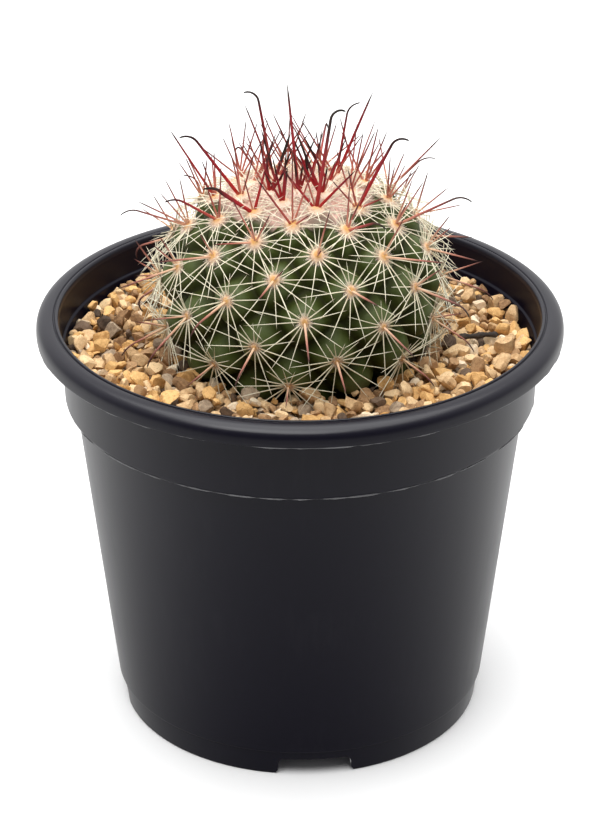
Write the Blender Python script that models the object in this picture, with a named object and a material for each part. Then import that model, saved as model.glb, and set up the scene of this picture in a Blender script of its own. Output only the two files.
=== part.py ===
"""Potted round cactus: a spiny globe cactus, grown in grit, in a black nursery pot.

Units are metres, +Z is up. The origin is on the pot's axis, at the surface the pot stands on.
The front of the pot faces -Y. Every separate piece is an object of its own.
"""
import math
import random

import bmesh
import bpy
from mathutils import Matrix, Vector

MM = 0.001
CLEARANCE = 0.3 * MM

# Pot: a thin moulded shell with a flange, a collar below it and a tapering wall.
RIM_RADIUS = 52.5 * MM
RIM_HEIGHT = 85.9 * MM
RIM_EDGE_DROP = 1.0 * MM
SKIRT_BOTTOM = 82.0 * MM
SKIRT_THICKNESS = 1.0 * MM
LIP_RADIUS = 48.4 * MM
COLLAR_TOP_RADIUS = 47.9 * MM
COLLAR_BOTTOM_RADIUS = 47.2 * MM
COLLAR_BOTTOM = 68.4 * MM
WALL_TOP_RADIUS = 45.1 * MM
WALL_BOTTOM_RADIUS = 38.0 * MM
WALL_THICKNESS = 1.1 * MM
FOOT_BAND_TOP = 5.7 * MM
FOOT_BAND_RADIUS = 37.5 * MM
FOOT_RADIUS = 36.9 * MM
FOOT_WIDTH = 1.6 * MM
FLOOR_UNDERSIDE = 4.2 * MM
FLOOR_THICKNESS = 1.2 * MM
POT_SEGMENTS = 64

NOTCH_COUNT = 4
NOTCH_WIDTH = 14.7 * MM
NOTCH_HEIGHT = 3.8 * MM
NOTCH_CORNER = 1.2 * MM
NOTCH_FIRST_AZIMUTH = math.radians(4.6)

DRAIN_COUNT = 8
DRAIN_RADIUS = 3.4 * MM
DRAIN_CIRCLE = 24.0 * MM
CENTRE_DRAIN_RADIUS = 4.0 * MM
DRAIN_SEGMENTS = 12

# Growing medium: potting mix below, a bed of loose grit above.
MIX_TOP = 73.0 * MM
GRIT_TOP = 78.6 * MM
GRIT_ROUGHNESS = 0.45 * MM
MEDIUM_SEGMENTS = 56
GRIT_RINGS = 6

# Cactus body: a squat globe whose cross-section is a superellipse, leaning slightly to one side.
BODY_RADIUS = 27.9 * MM
BODY_HALF_HEIGHT = 22.1 * MM
BODY_CENTRE_HEIGHT = 92.1 * MM
BODY_ROUNDNESS = 0.8235
BODY_LEAN_FORWARD = 0.007
BODY_LEAN_SIDE = -0.0318
BODY_COLUMNS = 60
BODY_ROWS = 24
TUBERCLE_DEPTH = 0.27
BURIED_LATITUDE = math.radians(-36)
BURIED_FADE = math.radians(9)
ROOT_RADIUS = 5.0 * MM
ROOT_TIP_RADIUS = 2.0 * MM
ROOT_BOTTOM = 56.0 * MM

# Areoles: the woolly spots that the spines grow from, one on the tip of each tubercle.
# They follow each other round the stem by the golden angle, from the crown down.
GOLDEN_ANGLE = math.radians(137.50776)
AREOLE_COUNT = 82
AREOLE_FIRST_AZIMUTH = math.radians(57.67)
AREOLE_LATITUDE_STEP = math.radians(1.4095)
AREOLE_START = 0.228
CAP_AREOLES = 8
ROW_STEP = 13

FELT_RADIUS = 1.25 * MM
FELT_SHARE = 0.2
FELT_THICKNESS = 0.55 * MM
FELT_TAPER = 0.9
RADIAL_SPINES = 12
RADIAL_LENGTH = 4.7 * MM
RADIAL_SHARE = 0.44
RADIAL_RISE = 0.24
SPINE_CLEARANCE = 1.2 * MM

# Central spines: long, red and upright in the crown, shorter and level with age, hooked at the tip.
CENTRAL_RADIUS = 0.28 * MM
CENTRAL_SIDES = 3
CENTRAL_SEGMENTS = 4
CENTRAL_RISE = 0.35
YOUNG_CENTRAL = 15.5 * MM
OLD_CENTRAL = 10.5 * MM
HOOK_DEPTH = 1.3 * MM
LOW_AREOLE = 7.0 * MM
LOW_CENTRAL_RISE = 0.12
YOUNG_AGE = 0.35

# The crown's cap of wool and the spines that stand on it.
CAP_RADIUS = 5.9 * MM
CAP_THICKNESS = 0.9 * MM
CAP_SIDES = 12
CROWN_SPREAD = 45.0
TALLEST_TIP = 133.0 * MM

# A dead twig lying on the grit.
TWIG_LENGTH = 8.4 * MM
TWIG_RADIUS = 0.75 * MM
TWIG_CENTRE = (35.6 * MM, -0.4 * MM)
TWIG_AZIMUTH = math.radians(8)

BLACK_PLASTIC = ("black_polypropylene", (0.016, 0.016, 0.018), 0.42)
DARK_SOIL = ("potting_mix", (0.045, 0.030, 0.020), 0.95)
TAN_GRIT = ("tan_grit", (0.52, 0.36, 0.20), 0.85)
GREEN_SKIN = ("green_skin", (0.035, 0.085, 0.040), 0.50)
CREAM_SPINE = ("cream_spine", (0.80, 0.70, 0.52), 0.55)
RED_SPINE = ("red_spine", (0.42, 0.045, 0.050), 0.50)
DARK_TWIG = ("dark_twig", (0.035, 0.024, 0.018), 0.90)


def clear_scene():
    """Remove whatever the scene holds."""
    for scene_object in list(bpy.data.objects):
        bpy.data.objects.remove(scene_object, do_unlink=True)


def make_material(finish):
    """Return the material that a finish names, making it on first use."""
    name, colour, roughness = finish
    material = bpy.data.materials.get(name)
    if material is None:
        material = bpy.data.materials.new(name)
        material.use_nodes = True
        shader = material.node_tree.nodes["Principled BSDF"]
        shader.inputs["Base Color"].default_value = (*colour, 1.0)
        shader.inputs["Roughness"].default_value = roughness
        material.diffuse_color = (*colour, 1.0)
    return material


def make_object(name, mesh_builder, finish, smooth_angle=None):
    """Turn a finished bmesh into a named object with its own material."""
    bmesh.ops.recalc_face_normals(mesh_builder, faces=mesh_builder.faces)
    mesh = bpy.data.meshes.new(name)
    mesh_builder.to_mesh(mesh)
    mesh_builder.free()
    mesh.materials.append(make_material(finish))
    if smooth_angle is not None:
        mesh.shade_smooth()
        mesh.set_sharp_from_angle(angle=smooth_angle)
    scene_object = bpy.data.objects.new(name, mesh)
    bpy.context.scene.collection.objects.link(scene_object)
    return scene_object


def on_circle(radius, azimuth, height):
    """Return a point; azimuth 0 is the front (-Y) and it grows towards +X."""
    return Vector((radius * math.sin(azimuth), -radius * math.cos(azimuth), height))


def turned_solid(outline, segments):
    """Turn a closed outline of (radius, height) points round the axis.

    A point on the axis has radius 0 and becomes a single vertex.
    """
    solid = bmesh.new()
    rings = []
    for radius, height in outline:
        if radius == 0:
            rings.append([solid.verts.new((0, 0, height))] * segments)
        else:
            angles = [math.tau * step / segments for step in range(segments)]
            rings.append([solid.verts.new(on_circle(radius, angle, height)) for angle in angles])
    for here, after in zip(rings, rings[1:] + rings[:1]):
        for step in range(segments):
            following = (step + 1) % segments
            corners = [here[step], here[following], after[following], after[step]]
            distinct = list(dict.fromkeys(corners))
            if len(distinct) > 2:
                solid.faces.new(distinct)
    return solid


def cut_with(target, cutter):
    """Subtract a cutter from a piece and keep the cutter out of the model."""
    cutter.hide_render = True
    cutter.display_type = "WIRE"
    modifier = target.modifiers.new(cutter.name, "BOOLEAN")
    modifier.operation = "DIFFERENCE"
    modifier.solver = "EXACT"
    modifier.object = cutter


# ---------------------------------------------------------------- pot

def inner_wall_radius(height):
    """Return the radius of the pot's inner surface at a height above its floor."""
    if height > COLLAR_BOTTOM:
        span = (height - COLLAR_BOTTOM) / (RIM_HEIGHT - COLLAR_BOTTOM)
        outer = COLLAR_BOTTOM_RADIUS + span * (COLLAR_TOP_RADIUS - COLLAR_BOTTOM_RADIUS)
    else:
        span = (height - FOOT_BAND_TOP) / (COLLAR_BOTTOM - FOOT_BAND_TOP)
        outer = WALL_BOTTOM_RADIUS + span * (WALL_TOP_RADIUS - WALL_BOTTOM_RADIUS)
    return outer - WALL_THICKNESS


def pot_outline():
    """Return the pot's closed outline: up the outside, over the rim, down the inside."""
    floor_top = FLOOR_UNDERSIDE + FLOOR_THICKNESS
    rim_edge = RIM_HEIGHT - RIM_EDGE_DROP
    flange_underside = rim_edge - SKIRT_THICKNESS
    skirt_inside = RIM_RADIUS - SKIRT_THICKNESS
    inner_step = COLLAR_BOTTOM - WALL_THICKNESS
    foot_inside = FOOT_RADIUS - FOOT_WIDTH
    return [
        (0, FLOOR_UNDERSIDE),
        (foot_inside, FLOOR_UNDERSIDE),
        (foot_inside, 0),
        (FOOT_RADIUS, 0),
        (FOOT_BAND_RADIUS, FOOT_BAND_TOP),
        (WALL_BOTTOM_RADIUS, FOOT_BAND_TOP + 0.3 * MM),
        (WALL_TOP_RADIUS, COLLAR_BOTTOM - 0.2 * MM),
        (COLLAR_BOTTOM_RADIUS, COLLAR_BOTTOM),
        (COLLAR_TOP_RADIUS, flange_underside),
        (skirt_inside, flange_underside),
        (skirt_inside, SKIRT_BOTTOM),
        (RIM_RADIUS, SKIRT_BOTTOM),
        (RIM_RADIUS, rim_edge - 0.5 * MM),
        (RIM_RADIUS - 0.4 * MM, rim_edge),
        (LIP_RADIUS + 0.7 * MM, RIM_HEIGHT),
        (LIP_RADIUS, RIM_HEIGHT - 0.5 * MM),
        (inner_wall_radius(GRIT_TOP), GRIT_TOP),
        (inner_wall_radius(COLLAR_BOTTOM + 0.1 * MM), COLLAR_BOTTOM),
        (inner_wall_radius(inner_step), inner_step),
        (inner_wall_radius(floor_top + 1.5 * MM), floor_top + 1.5 * MM),
        (inner_wall_radius(floor_top) - 1.5 * MM, floor_top),
        (0, floor_top),
    ]


def notch_outline():
    """Return the notch's arch as (across, up) points, with rounded upper corners."""
    half = NOTCH_WIDTH / 2
    points = [(-half, -NOTCH_HEIGHT), (half, -NOTCH_HEIGHT)]
    for centre, first in ((half - NOTCH_CORNER, 0), (NOTCH_CORNER - half, 90)):
        for turn in (0, 45, 90):
            angle = math.radians(first + turn)
            across = centre + NOTCH_CORNER * math.cos(angle)
            points.append((across, NOTCH_HEIGHT - NOTCH_CORNER + NOTCH_CORNER * math.sin(angle)))
    return points


def add_notch_cutter(pot, index):
    """Cut one arch through the foot ring, for water to run out from under the pot."""
    cutter = bmesh.new()
    inner = FOOT_RADIUS - 3 * FOOT_WIDTH
    outer = FOOT_RADIUS + 2 * FOOT_WIDTH
    near = [cutter.verts.new((across, -inner, up)) for across, up in notch_outline()]
    far = [cutter.verts.new((across, -outer, up)) for across, up in notch_outline()]
    cutter.faces.new(near)
    cutter.faces.new(reversed(far))
    for here in range(len(near)):
        after = (here + 1) % len(near)
        cutter.faces.new((near[here], far[here], far[after], near[after]))
    notch = make_object(f"notch_cutter_{index}", cutter, BLACK_PLASTIC)
    notch.rotation_euler.z = NOTCH_FIRST_AZIMUTH + math.tau * index / NOTCH_COUNT
    cut_with(pot, notch)


def add_drain_cutter(pot, index, radius, azimuth, distance):
    """Cut one round drainage hole through the pot's floor."""
    cutter = bmesh.new()
    middle = FLOOR_UNDERSIDE + FLOOR_THICKNESS / 2
    bmesh.ops.create_cone(
        cutter,
        cap_ends=True,
        segments=DRAIN_SEGMENTS,
        radius1=radius,
        radius2=radius,
        depth=3 * FLOOR_THICKNESS,
    )
    drain = make_object(f"drain_cutter_{index}", cutter, BLACK_PLASTIC)
    drain.location = on_circle(distance, azimuth, middle)
    cut_with(pot, drain)


def build_pot():
    """Build the pot with its foot notches and drainage holes."""
    pot = make_object("pot", turned_solid(pot_outline(), POT_SEGMENTS), BLACK_PLASTIC, math.radians(35))
    for index in range(NOTCH_COUNT):
        add_notch_cutter(pot, index)
    add_drain_cutter(pot, 0, CENTRE_DRAIN_RADIUS, 0, 0)
    for index in range(DRAIN_COUNT):
        azimuth = NOTCH_FIRST_AZIMUTH + math.tau * index / DRAIN_COUNT
        add_drain_cutter(pot, index + 1, DRAIN_RADIUS, azimuth, DRAIN_CIRCLE)


# ---------------------------------------------------------------- cactus body

def body_placement():
    """Return the matrix that leans the body and lifts it to its place on the pot's axis."""
    lean = Matrix.Rotation(BODY_LEAN_SIDE, 4, "Y") @ Matrix.Rotation(BODY_LEAN_FORWARD, 4, "X")
    return Matrix.Translation((0, 0, BODY_CENTRE_HEIGHT)) @ lean


def signed_power(value, power):
    """Raise a value to a power and keep its sign."""
    return math.copysign(abs(value) ** power, value)


def globe_point(latitude, azimuth, margin=0.0):
    """Return a point of the globe's outer shape about its centre, grown by a margin."""
    radius = BODY_RADIUS * signed_power(math.cos(latitude), BODY_ROUNDNESS) + margin
    height = (BODY_HALF_HEIGHT + margin) * signed_power(math.sin(latitude), BODY_ROUNDNESS)
    return on_circle(radius, azimuth, height)


def globe_normal(latitude, azimuth):
    """Return the outward direction of the globe's outer shape."""
    step = 0.002
    up = globe_point(latitude + step, azimuth) - globe_point(latitude - step, azimuth)
    along = on_circle(1, azimuth + math.pi / 2, 0)
    return along.cross(up).normalized()


def areole_angles(index):
    """Return the latitude and azimuth of an areole, counted from the crown."""
    latitude = math.pi / 2 - AREOLE_LATITUDE_STEP * (index + AREOLE_START)
    azimuth = AREOLE_FIRST_AZIMUTH - GOLDEN_ANGLE * index
    return latitude, azimuth


def tubercle_sink(point, tips, latitude):
    """Return how far the skin lies below the globe's outer shape at a point.

    The skin touches the outer shape at each tubercle's tip and sinks between the tips.
    """
    nearest, second = sorted((point - tip).length for tip in tips)[:2]
    valley = nearest / second
    shown = min(1.0, max(0.0, (latitude - BURIED_LATITUDE) / BURIED_FADE))
    return TUBERCLE_DEPTH * (nearest + second) * valley * valley * shown


def root_outline():
    """Return (radius, height) points of the root neck, from the body down to its tip."""
    neck_top = -BODY_HALF_HEIGHT * 0.985
    bottom = ROOT_BOTTOM - BODY_CENTRE_HEIGHT
    middle = (neck_top + bottom) / 2
    return [
        (ROOT_RADIUS, neck_top),
        (ROOT_RADIUS * 0.8, middle),
        (ROOT_TIP_RADIUS, bottom),
        (0, bottom),
    ]


def lowest_body_latitude():
    """Return the latitude where the globe's shape has drawn in to the root neck's radius."""
    return -math.acos((ROOT_RADIUS / BODY_RADIUS) ** (1 / BODY_ROUNDNESS))


def build_cactus_body():
    """Build the green stem with its tubercles and root neck, as one body."""
    tips = [globe_point(*areole_angles(index)) for index in range(AREOLE_COUNT)]
    lowest = lowest_body_latitude()
    body = bmesh.new()
    crown = body.verts.new((0, 0, BODY_HALF_HEIGHT))
    rings = []
    for row in range(1, BODY_ROWS):
        latitude = math.pi / 2 + (lowest - math.pi / 2) * (row - 0.3) / (BODY_ROWS - 1.3)
        ring = []
        for column in range(BODY_COLUMNS):
            azimuth = math.tau * column / BODY_COLUMNS
            point = globe_point(latitude, azimuth)
            sink = tubercle_sink(point, tips, latitude)
            ring.append(body.verts.new(point - globe_normal(latitude, azimuth) * sink))
        rings.append(ring)
    for radius, height in root_outline()[1:-1]:
        angles = [math.tau * column / BODY_COLUMNS for column in range(BODY_COLUMNS)]
        rings.append([body.verts.new(on_circle(radius, angle, height)) for angle in angles])
    for here, after in zip(rings, rings[1:]):
        for column in range(BODY_COLUMNS):
            following = (column + 1) % BODY_COLUMNS
            body.faces.new((here[column], after[column], after[following], here[following]))
    for column in range(BODY_COLUMNS):
        body.faces.new((crown, rings[0][column], rings[0][(column + 1) % BODY_COLUMNS]))
    body.faces.new(reversed(rings[-1]))
    bmesh.ops.triangulate(body, faces=body.faces)
    body.transform(body_placement())
    make_object("cactus_body", body, GREEN_SKIN, math.radians(60))


# ---------------------------------------------------------------- growing medium

def build_root_hollow():
    """Return the cutter that leaves room in the medium for the buried half of the body."""
    lowest = lowest_body_latitude()
    rows = 12
    outline = [(0, BODY_HALF_HEIGHT)]
    for row in range(rows + 1):
        latitude = lowest * row / rows
        point = globe_point(latitude, 0, CLEARANCE)
        outline.append((-point.y, point.z))
    outline.insert(1, (BODY_RADIUS + CLEARANCE, BODY_HALF_HEIGHT))
    outline += [(radius + CLEARANCE if radius else 0, height) for radius, height in root_outline()[1:]]
    outline[-2] = (outline[-2][0], outline[-2][1] - CLEARANCE)
    outline[-1] = (0, outline[-2][1])
    hollow = turned_solid(outline, MEDIUM_SEGMENTS)
    hollow.transform(body_placement())
    return make_object("root_hollow_cutter", hollow, DARK_SOIL)


def build_potting_mix(hollow):
    """Build the soil that fills the pot up to the grit and holds the root."""
    floor = FLOOR_UNDERSIDE + FLOOR_THICKNESS + CLEARANCE
    step = COLLAR_BOTTOM - WALL_THICKNESS
    corner = floor + 1.5 * MM
    outline = [
        (0, floor),
        (inner_wall_radius(floor) - 1.5 * MM - 2 * CLEARANCE, floor),
        (inner_wall_radius(corner) - 1.5 * CLEARANCE, corner),
        (inner_wall_radius(step) - 1.5 * CLEARANCE, step),
        (inner_wall_radius(step) - 1.5 * CLEARANCE, COLLAR_BOTTOM),
        (inner_wall_radius(MIX_TOP) - 2 * CLEARANCE, COLLAR_BOTTOM + WALL_THICKNESS),
        (inner_wall_radius(MIX_TOP) - 2 * CLEARANCE, MIX_TOP),
        (0, MIX_TOP),
    ]
    mix = make_object("potting_mix", turned_solid(outline, MEDIUM_SEGMENTS), DARK_SOIL)
    cut_with(mix, hollow)


def build_grit_bed(hollow):
    """Build the bed of grit with its uneven top, as one body standing for all its grains."""
    draws = random.Random(5)
    bottom = MIX_TOP + CLEARANCE
    outer = inner_wall_radius(MIX_TOP) - 2 * CLEARANCE
    bed = bmesh.new()
    angles = [math.tau * step / MEDIUM_SEGMENTS for step in range(MEDIUM_SEGMENTS)]
    under = [bed.verts.new(on_circle(outer, angle, bottom)) for angle in angles]
    rings = [under]
    for ring in range(GRIT_RINGS):
        radius = outer * (1 - ring / GRIT_RINGS)
        tops = []
        for angle in angles:
            rise = draws.uniform(-GRIT_ROUGHNESS, GRIT_ROUGHNESS)
            tops.append(bed.verts.new(on_circle(radius, angle, GRIT_TOP + rise)))
        rings.append(tops)
    for here, after in zip(rings, rings[1:]):
        for step in range(MEDIUM_SEGMENTS):
            following = (step + 1) % MEDIUM_SEGMENTS
            bed.faces.new((here[step], here[following], after[following], after[step]))
    bed.faces.new(reversed(under))
    bed.faces.new(rings[-1])
    bmesh.ops.triangulate(bed, faces=bed.faces)
    grit = make_object("grit_bed", bed, TAN_GRIT)
    cut_with(grit, hollow)


def build_twig():
    """Build the bit of dead twig that lies on the grit."""
    twig = bmesh.new()
    sides = 6
    half = TWIG_LENGTH / 2
    bend = [(-half, 0.55), (-half * 0.3, 1.0), (half * 0.35, 0.9), (half, 0.45)]
    rings = []
    for along, thickness in bend:
        ring = []
        for side in range(sides):
            angle = math.tau * side / sides
            lift = TWIG_RADIUS * thickness * math.sin(angle) + 0.12 * abs(along)
            ring.append(twig.verts.new((along, TWIG_RADIUS * thickness * math.cos(angle), lift)))
        rings.append(ring)
    for here, after in zip(rings, rings[1:]):
        for side in range(sides):
            following = (side + 1) % sides
            twig.faces.new((here[side], here[following], after[following], after[side]))
    twig.faces.new(reversed(rings[0]))
    twig.faces.new(rings[-1])
    height = GRIT_TOP + GRIT_ROUGHNESS + TWIG_RADIUS + CLEARANCE
    place = Matrix.Translation((*TWIG_CENTRE, height)) @ Matrix.Rotation(TWIG_AZIMUTH, 4, "Z")
    twig.transform(place)
    make_object("twig", twig, DARK_TWIG)


# ---------------------------------------------------------------- spines

class Areole:
    """A woolly spot on the tip of a tubercle: where it is, which way it faces and how crowded it is."""

    def __init__(self, index):
        """Place an areole by its count from the crown."""
        latitude, azimuth = areole_angles(index)
        lean = body_placement()
        tip = globe_point(latitude, azimuth)
        others = [globe_point(*areole_angles(other)) for other in range(AREOLE_COUNT) if other != index]
        self.age = index / (AREOLE_COUNT - 1)
        self.spacing = min((tip - other).length for other in others)
        self.felt_radius = min(FELT_RADIUS, FELT_SHARE * self.spacing)
        self.normal = (lean.to_3x3() @ globe_normal(latitude, azimuth)).normalized()
        self.centre = lean @ tip + self.normal * CLEARANCE
        side = lean.to_3x3() @ on_circle(1, azimuth + math.pi / 2, 0)
        self.side = (side - self.normal * side.dot(self.normal)).normalized()
        self.up = self.side.cross(self.normal)
        if self.up.z < 0:
            self.up.negate()

    def at(self, angle, distance, lift):
        """Return a point about the areole: an angle round it, a distance out and a lift off the skin."""
        outward = self.side * math.cos(angle) + self.up * math.sin(angle)
        return self.centre + outward * distance + self.normal * lift

    def radial_reach(self, angle):
        """Return a radial spine's length, cut short where it would run into the grit."""
        length = min(RADIAL_LENGTH, RADIAL_SHARE * self.spacing)
        drop = self.centre.z - self.at(angle, 1.0, RADIAL_RISE).z
        if drop <= 0:
            return length
        room = self.centre.z - GRIT_TOP - SPINE_CLEARANCE
        return min(length, max(0.0, room / drop))


def add_felt(mesh, areole):
    """Add an areole's felt pad and return its side faces and its top corners."""
    angles = [math.tau * side / RADIAL_SPINES for side in range(RADIAL_SPINES)]
    low = [mesh.verts.new(areole.at(angle, areole.felt_radius, 0)) for angle in angles]
    top_radius = areole.felt_radius * FELT_TAPER
    high = [mesh.verts.new(areole.at(angle, top_radius, FELT_THICKNESS)) for angle in angles]
    sides = []
    for here in range(RADIAL_SPINES):
        after = (here + 1) % RADIAL_SPINES
        sides.append([low[here], low[after], high[after], high[here]])
    mesh.faces.new(list(reversed(low)))
    return sides, high


def add_radial_spine(mesh, areole, side, number):
    """Draw one side face of the felt out to the point of a thin radial spine."""
    angle = math.tau * (number + 0.5) / RADIAL_SPINES
    reach = areole.radial_reach(angle)
    if reach < 1.3 * areole.felt_radius:
        mesh.faces.new(side)
        return
    point = mesh.verts.new(areole.at(angle, reach, FELT_THICKNESS / 2 + RADIAL_RISE * reach))
    for here in range(4):
        mesh.faces.new((side[here], side[(here + 1) % 4], point))


def central_path(areole):
    """Return the points along a central spine, from the felt to its hooked tip."""
    length = YOUNG_CENTRAL + (OLD_CENTRAL - YOUNG_CENTRAL) * min(1.0, 1.5 * areole.age)
    direction = (areole.normal + Vector((0, 0, CENTRAL_RISE * (1 - areole.age)))).normalized()
    if areole.centre.z - GRIT_TOP < LOW_AREOLE:
        direction = Vector((direction.x, direction.y, LOW_CENTRAL_RISE)).normalized()
    start = areole.at(0, 0, FELT_THICKNESS)
    steps = [length * step / CENTRAL_SEGMENTS for step in range(CENTRAL_SEGMENTS + 1)]
    steps[-1] = length * (CENTRAL_SEGMENTS - 0.6) / CENTRAL_SEGMENTS
    points = [start + direction * along for along in steps]
    points[-1] += areole.up * (HOOK_DEPTH if areole.centre.z - GRIT_TOP < LOW_AREOLE else -HOOK_DEPTH)
    return points


def add_central_spine(mesh, base, path):
    """Draw a three-sided central spine out of a triangle, with its tip at the path's end."""
    previous = base
    for number, centre in enumerate(path[1:-1], start=1):
        along = (path[number + 1] - path[number - 1]).normalized()
        middle = sum((corner.co for corner in previous), Vector()) / CENTRAL_SIDES
        taper = CENTRAL_RADIUS * (1 - 0.6 * number / len(path))
        ring = []
        for corner in previous:
            away = corner.co - middle
            away = (away - along * away.dot(along)).normalized()
            ring.append(mesh.verts.new(centre + away * taper))
        for here in range(CENTRAL_SIDES):
            after = (here + 1) % CENTRAL_SIDES
            mesh.faces.new((previous[here], previous[after], ring[after], ring[here]))
        previous = ring
    tip = mesh.verts.new(path[-1])
    for here in range(CENTRAL_SIDES):
        mesh.faces.new((previous[here], previous[(here + 1) % CENTRAL_SIDES], tip))


def close_felt_top(mesh, areole, high):
    """Close the felt's top with a triangle at its middle that the central spine stands on."""
    third = RADIAL_SPINES // CENTRAL_SIDES
    middles = []
    for corner in range(CENTRAL_SIDES):
        angle = math.tau * (corner * third + third / 2) / RADIAL_SPINES
        middles.append(mesh.verts.new(areole.at(angle, 2 * CENTRAL_RADIUS, FELT_THICKNESS * 1.2)))
    for here in range(RADIAL_SPINES):
        mesh.faces.new((high[here], high[(here + 1) % RADIAL_SPINES], middles[here // third]))
    for here in range(CENTRAL_SIDES):
        after = (here + 1) % CENTRAL_SIDES
        mesh.faces.new((high[after * third], middles[after], middles[here]))
    add_central_spine(mesh, middles, central_path(areole))


def facing_side(sides, target):
    """Return the number of the side face that is nearest to a point."""
    middles = [sum((corner.co for corner in side), Vector()) / 4 for side in sides]
    return min(range(len(sides)), key=lambda number: (middles[number] - target).length)


def join_sides(mesh, first, second):
    """Join two facing side faces by the spines that run from one felt to the other."""
    pairs = [(first[0], second[1]), (first[1], second[0]), (first[2], second[3]), (first[3], second[2])]
    for (here, across), (after, across_after) in zip(pairs, pairs[1:] + pairs[:1]):
        mesh.faces.new((here, after, across_after, across))


def build_spine_cluster(name, indices):
    """Build the spines of one areole, or of two whose radial spines reach each other's felt."""
    mesh = bmesh.new()
    areoles = [Areole(index) for index in indices]
    felts = [add_felt(mesh, areole) for areole in areoles]
    joined = [None] * len(areoles)
    if len(areoles) == 2:
        joined[0] = facing_side(felts[0][0], areoles[1].centre)
        joined[1] = facing_side(felts[1][0], areoles[0].centre)
        join_sides(mesh, felts[0][0][joined[0]], felts[1][0][joined[1]])
    for areole, (sides, high), taken in zip(areoles, felts, joined):
        for number, side in enumerate(sides):
            if number != taken:
                add_radial_spine(mesh, areole, side, number)
        close_felt_top(mesh, areole, high)
    finish = RED_SPINE if areoles[0].age < YOUNG_AGE else CREAM_SPINE
    make_object(name, mesh, finish, math.radians(40))


def cap_corner(share, side, lift):
    """Return a point of the crown's woolly cap."""
    radius = CAP_RADIUS * share
    latitude = math.acos((radius / BODY_RADIUS) ** (1 / BODY_ROUNDNESS))
    azimuth = math.tau * (side + 0.5) / CAP_SIDES
    point = globe_point(latitude, azimuth) + globe_normal(latitude, azimuth) * (CLEARANCE + lift)
    return body_placement() @ point


def crown_spine_path(corners, number):
    """Return the path of a crown spine: the first is the tallest, the rest lean out and are shorter."""
    foot = sum((corner.co for corner in corners), Vector()) / CENTRAL_SIDES
    full = TALLEST_TIP - foot.z
    share = 1.0 - 0.1 * (number % 4)
    lean = Vector((foot.x, foot.y, 0)) * (CROWN_SPREAD if number else 0.0)
    direction = lean + Vector((0, 0, 1))
    steps = [full * share * step / CENTRAL_SEGMENTS for step in range(CENTRAL_SEGMENTS + 1)]
    return [foot + direction * along for along in steps]


def build_crown_spines():
    """Build the crown: a cap of wool carrying the youngest spines, which stand up from it."""
    mesh = bmesh.new()
    levels = ((1.0, 0.0), (0.94, 0.7), (0.55, 1.0))
    low, edge, inner = [
        [mesh.verts.new(cap_corner(share, side, CAP_THICKNESS * lift)) for side in range(CAP_SIDES)]
        for share, lift in levels
    ]
    summit = body_placement() @ Vector((0, 0, BODY_HALF_HEIGHT))
    top = mesh.verts.new(summit + Vector((0, 0, CLEARANCE + CAP_THICKNESS)))
    under = mesh.verts.new(summit + Vector((0, 0, CLEARANCE)))
    for side in range(CAP_SIDES):
        after = (side + 1) % CAP_SIDES
        mesh.faces.new((low[side], low[after], edge[after], edge[side]))
        mesh.faces.new((low[after], low[side], under))
        mesh.faces.new((edge[after], inner[after], inner[side]))
        slope = [edge[side], edge[after], inner[side]]
        crest = [inner[side], inner[after], top]
        if side % 2:
            add_central_spine(mesh, slope, crown_spine_path(slope, side))
            mesh.faces.new(crest)
        else:
            add_central_spine(mesh, crest, crown_spine_path(crest, side))
            mesh.faces.new(slope)
    make_object("crown_spines", mesh, RED_SPINE, math.radians(40))


def build_spines():
    """Build every areole's spines: the crown's together, the rest in clusters of one or two."""
    build_crown_spines()
    first_single = CAP_AREOLES + 2 * ROW_STEP
    first_low = AREOLE_COUNT - 2 * ROW_STEP
    for index in range(CAP_AREOLES, CAP_AREOLES + ROW_STEP):
        build_spine_cluster(f"upper_spines_{index:02d}", (index, index + ROW_STEP))
    for index in range(first_single, first_low):
        build_spine_cluster(f"spine_cluster_{index:02d}", (index,))
    for index in range(first_low, first_low + ROW_STEP):
        build_spine_cluster(f"lower_spines_{index:02d}", (index, index + ROW_STEP))


def main():
    """Build the whole part."""
    clear_scene()
    build_pot()
    build_cactus_body()
    hollow = build_root_hollow()
    build_potting_mix(hollow)
    build_grit_bed(hollow)
    build_twig()
    build_spines()


main()
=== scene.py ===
"""Looks of a potted round cactus: a black nursery pot, loose tan grit and a spiny green stem.

Metres, +Z up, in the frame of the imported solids. The front of the pot faces -Y.
"""
import logging
import math
from dataclasses import dataclass
from enum import Enum
from typing import Dict, List, Optional, Sequence, Tuple, Union

import bpy
import numpy as np
from mathutils import Matrix, Vector, noise


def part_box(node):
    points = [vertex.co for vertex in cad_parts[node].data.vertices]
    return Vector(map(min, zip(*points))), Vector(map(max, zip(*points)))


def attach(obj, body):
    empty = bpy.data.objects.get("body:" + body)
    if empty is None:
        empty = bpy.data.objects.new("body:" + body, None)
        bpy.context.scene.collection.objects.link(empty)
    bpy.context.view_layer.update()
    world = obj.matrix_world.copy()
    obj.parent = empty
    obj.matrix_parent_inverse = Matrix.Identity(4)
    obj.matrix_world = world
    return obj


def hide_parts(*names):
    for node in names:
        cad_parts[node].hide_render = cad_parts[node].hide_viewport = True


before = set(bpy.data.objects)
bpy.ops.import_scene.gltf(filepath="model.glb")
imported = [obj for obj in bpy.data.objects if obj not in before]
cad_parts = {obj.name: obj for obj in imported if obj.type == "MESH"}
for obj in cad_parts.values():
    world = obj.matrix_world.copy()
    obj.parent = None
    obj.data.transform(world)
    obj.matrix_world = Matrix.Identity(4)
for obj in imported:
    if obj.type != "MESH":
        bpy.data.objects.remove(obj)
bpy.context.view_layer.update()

MM = 0.001
UP = np.array((0.0, 0.0, 1.0))
COLLAR_BOTTOM = 68.4 * MM
SHELF_HEIGHT = 79.6 * MM
# Where a spine's dark tip begins, in the point values and in the colour ramps.
RIPE = 0.8
log = logging.getLogger("potted_cactus")

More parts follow.
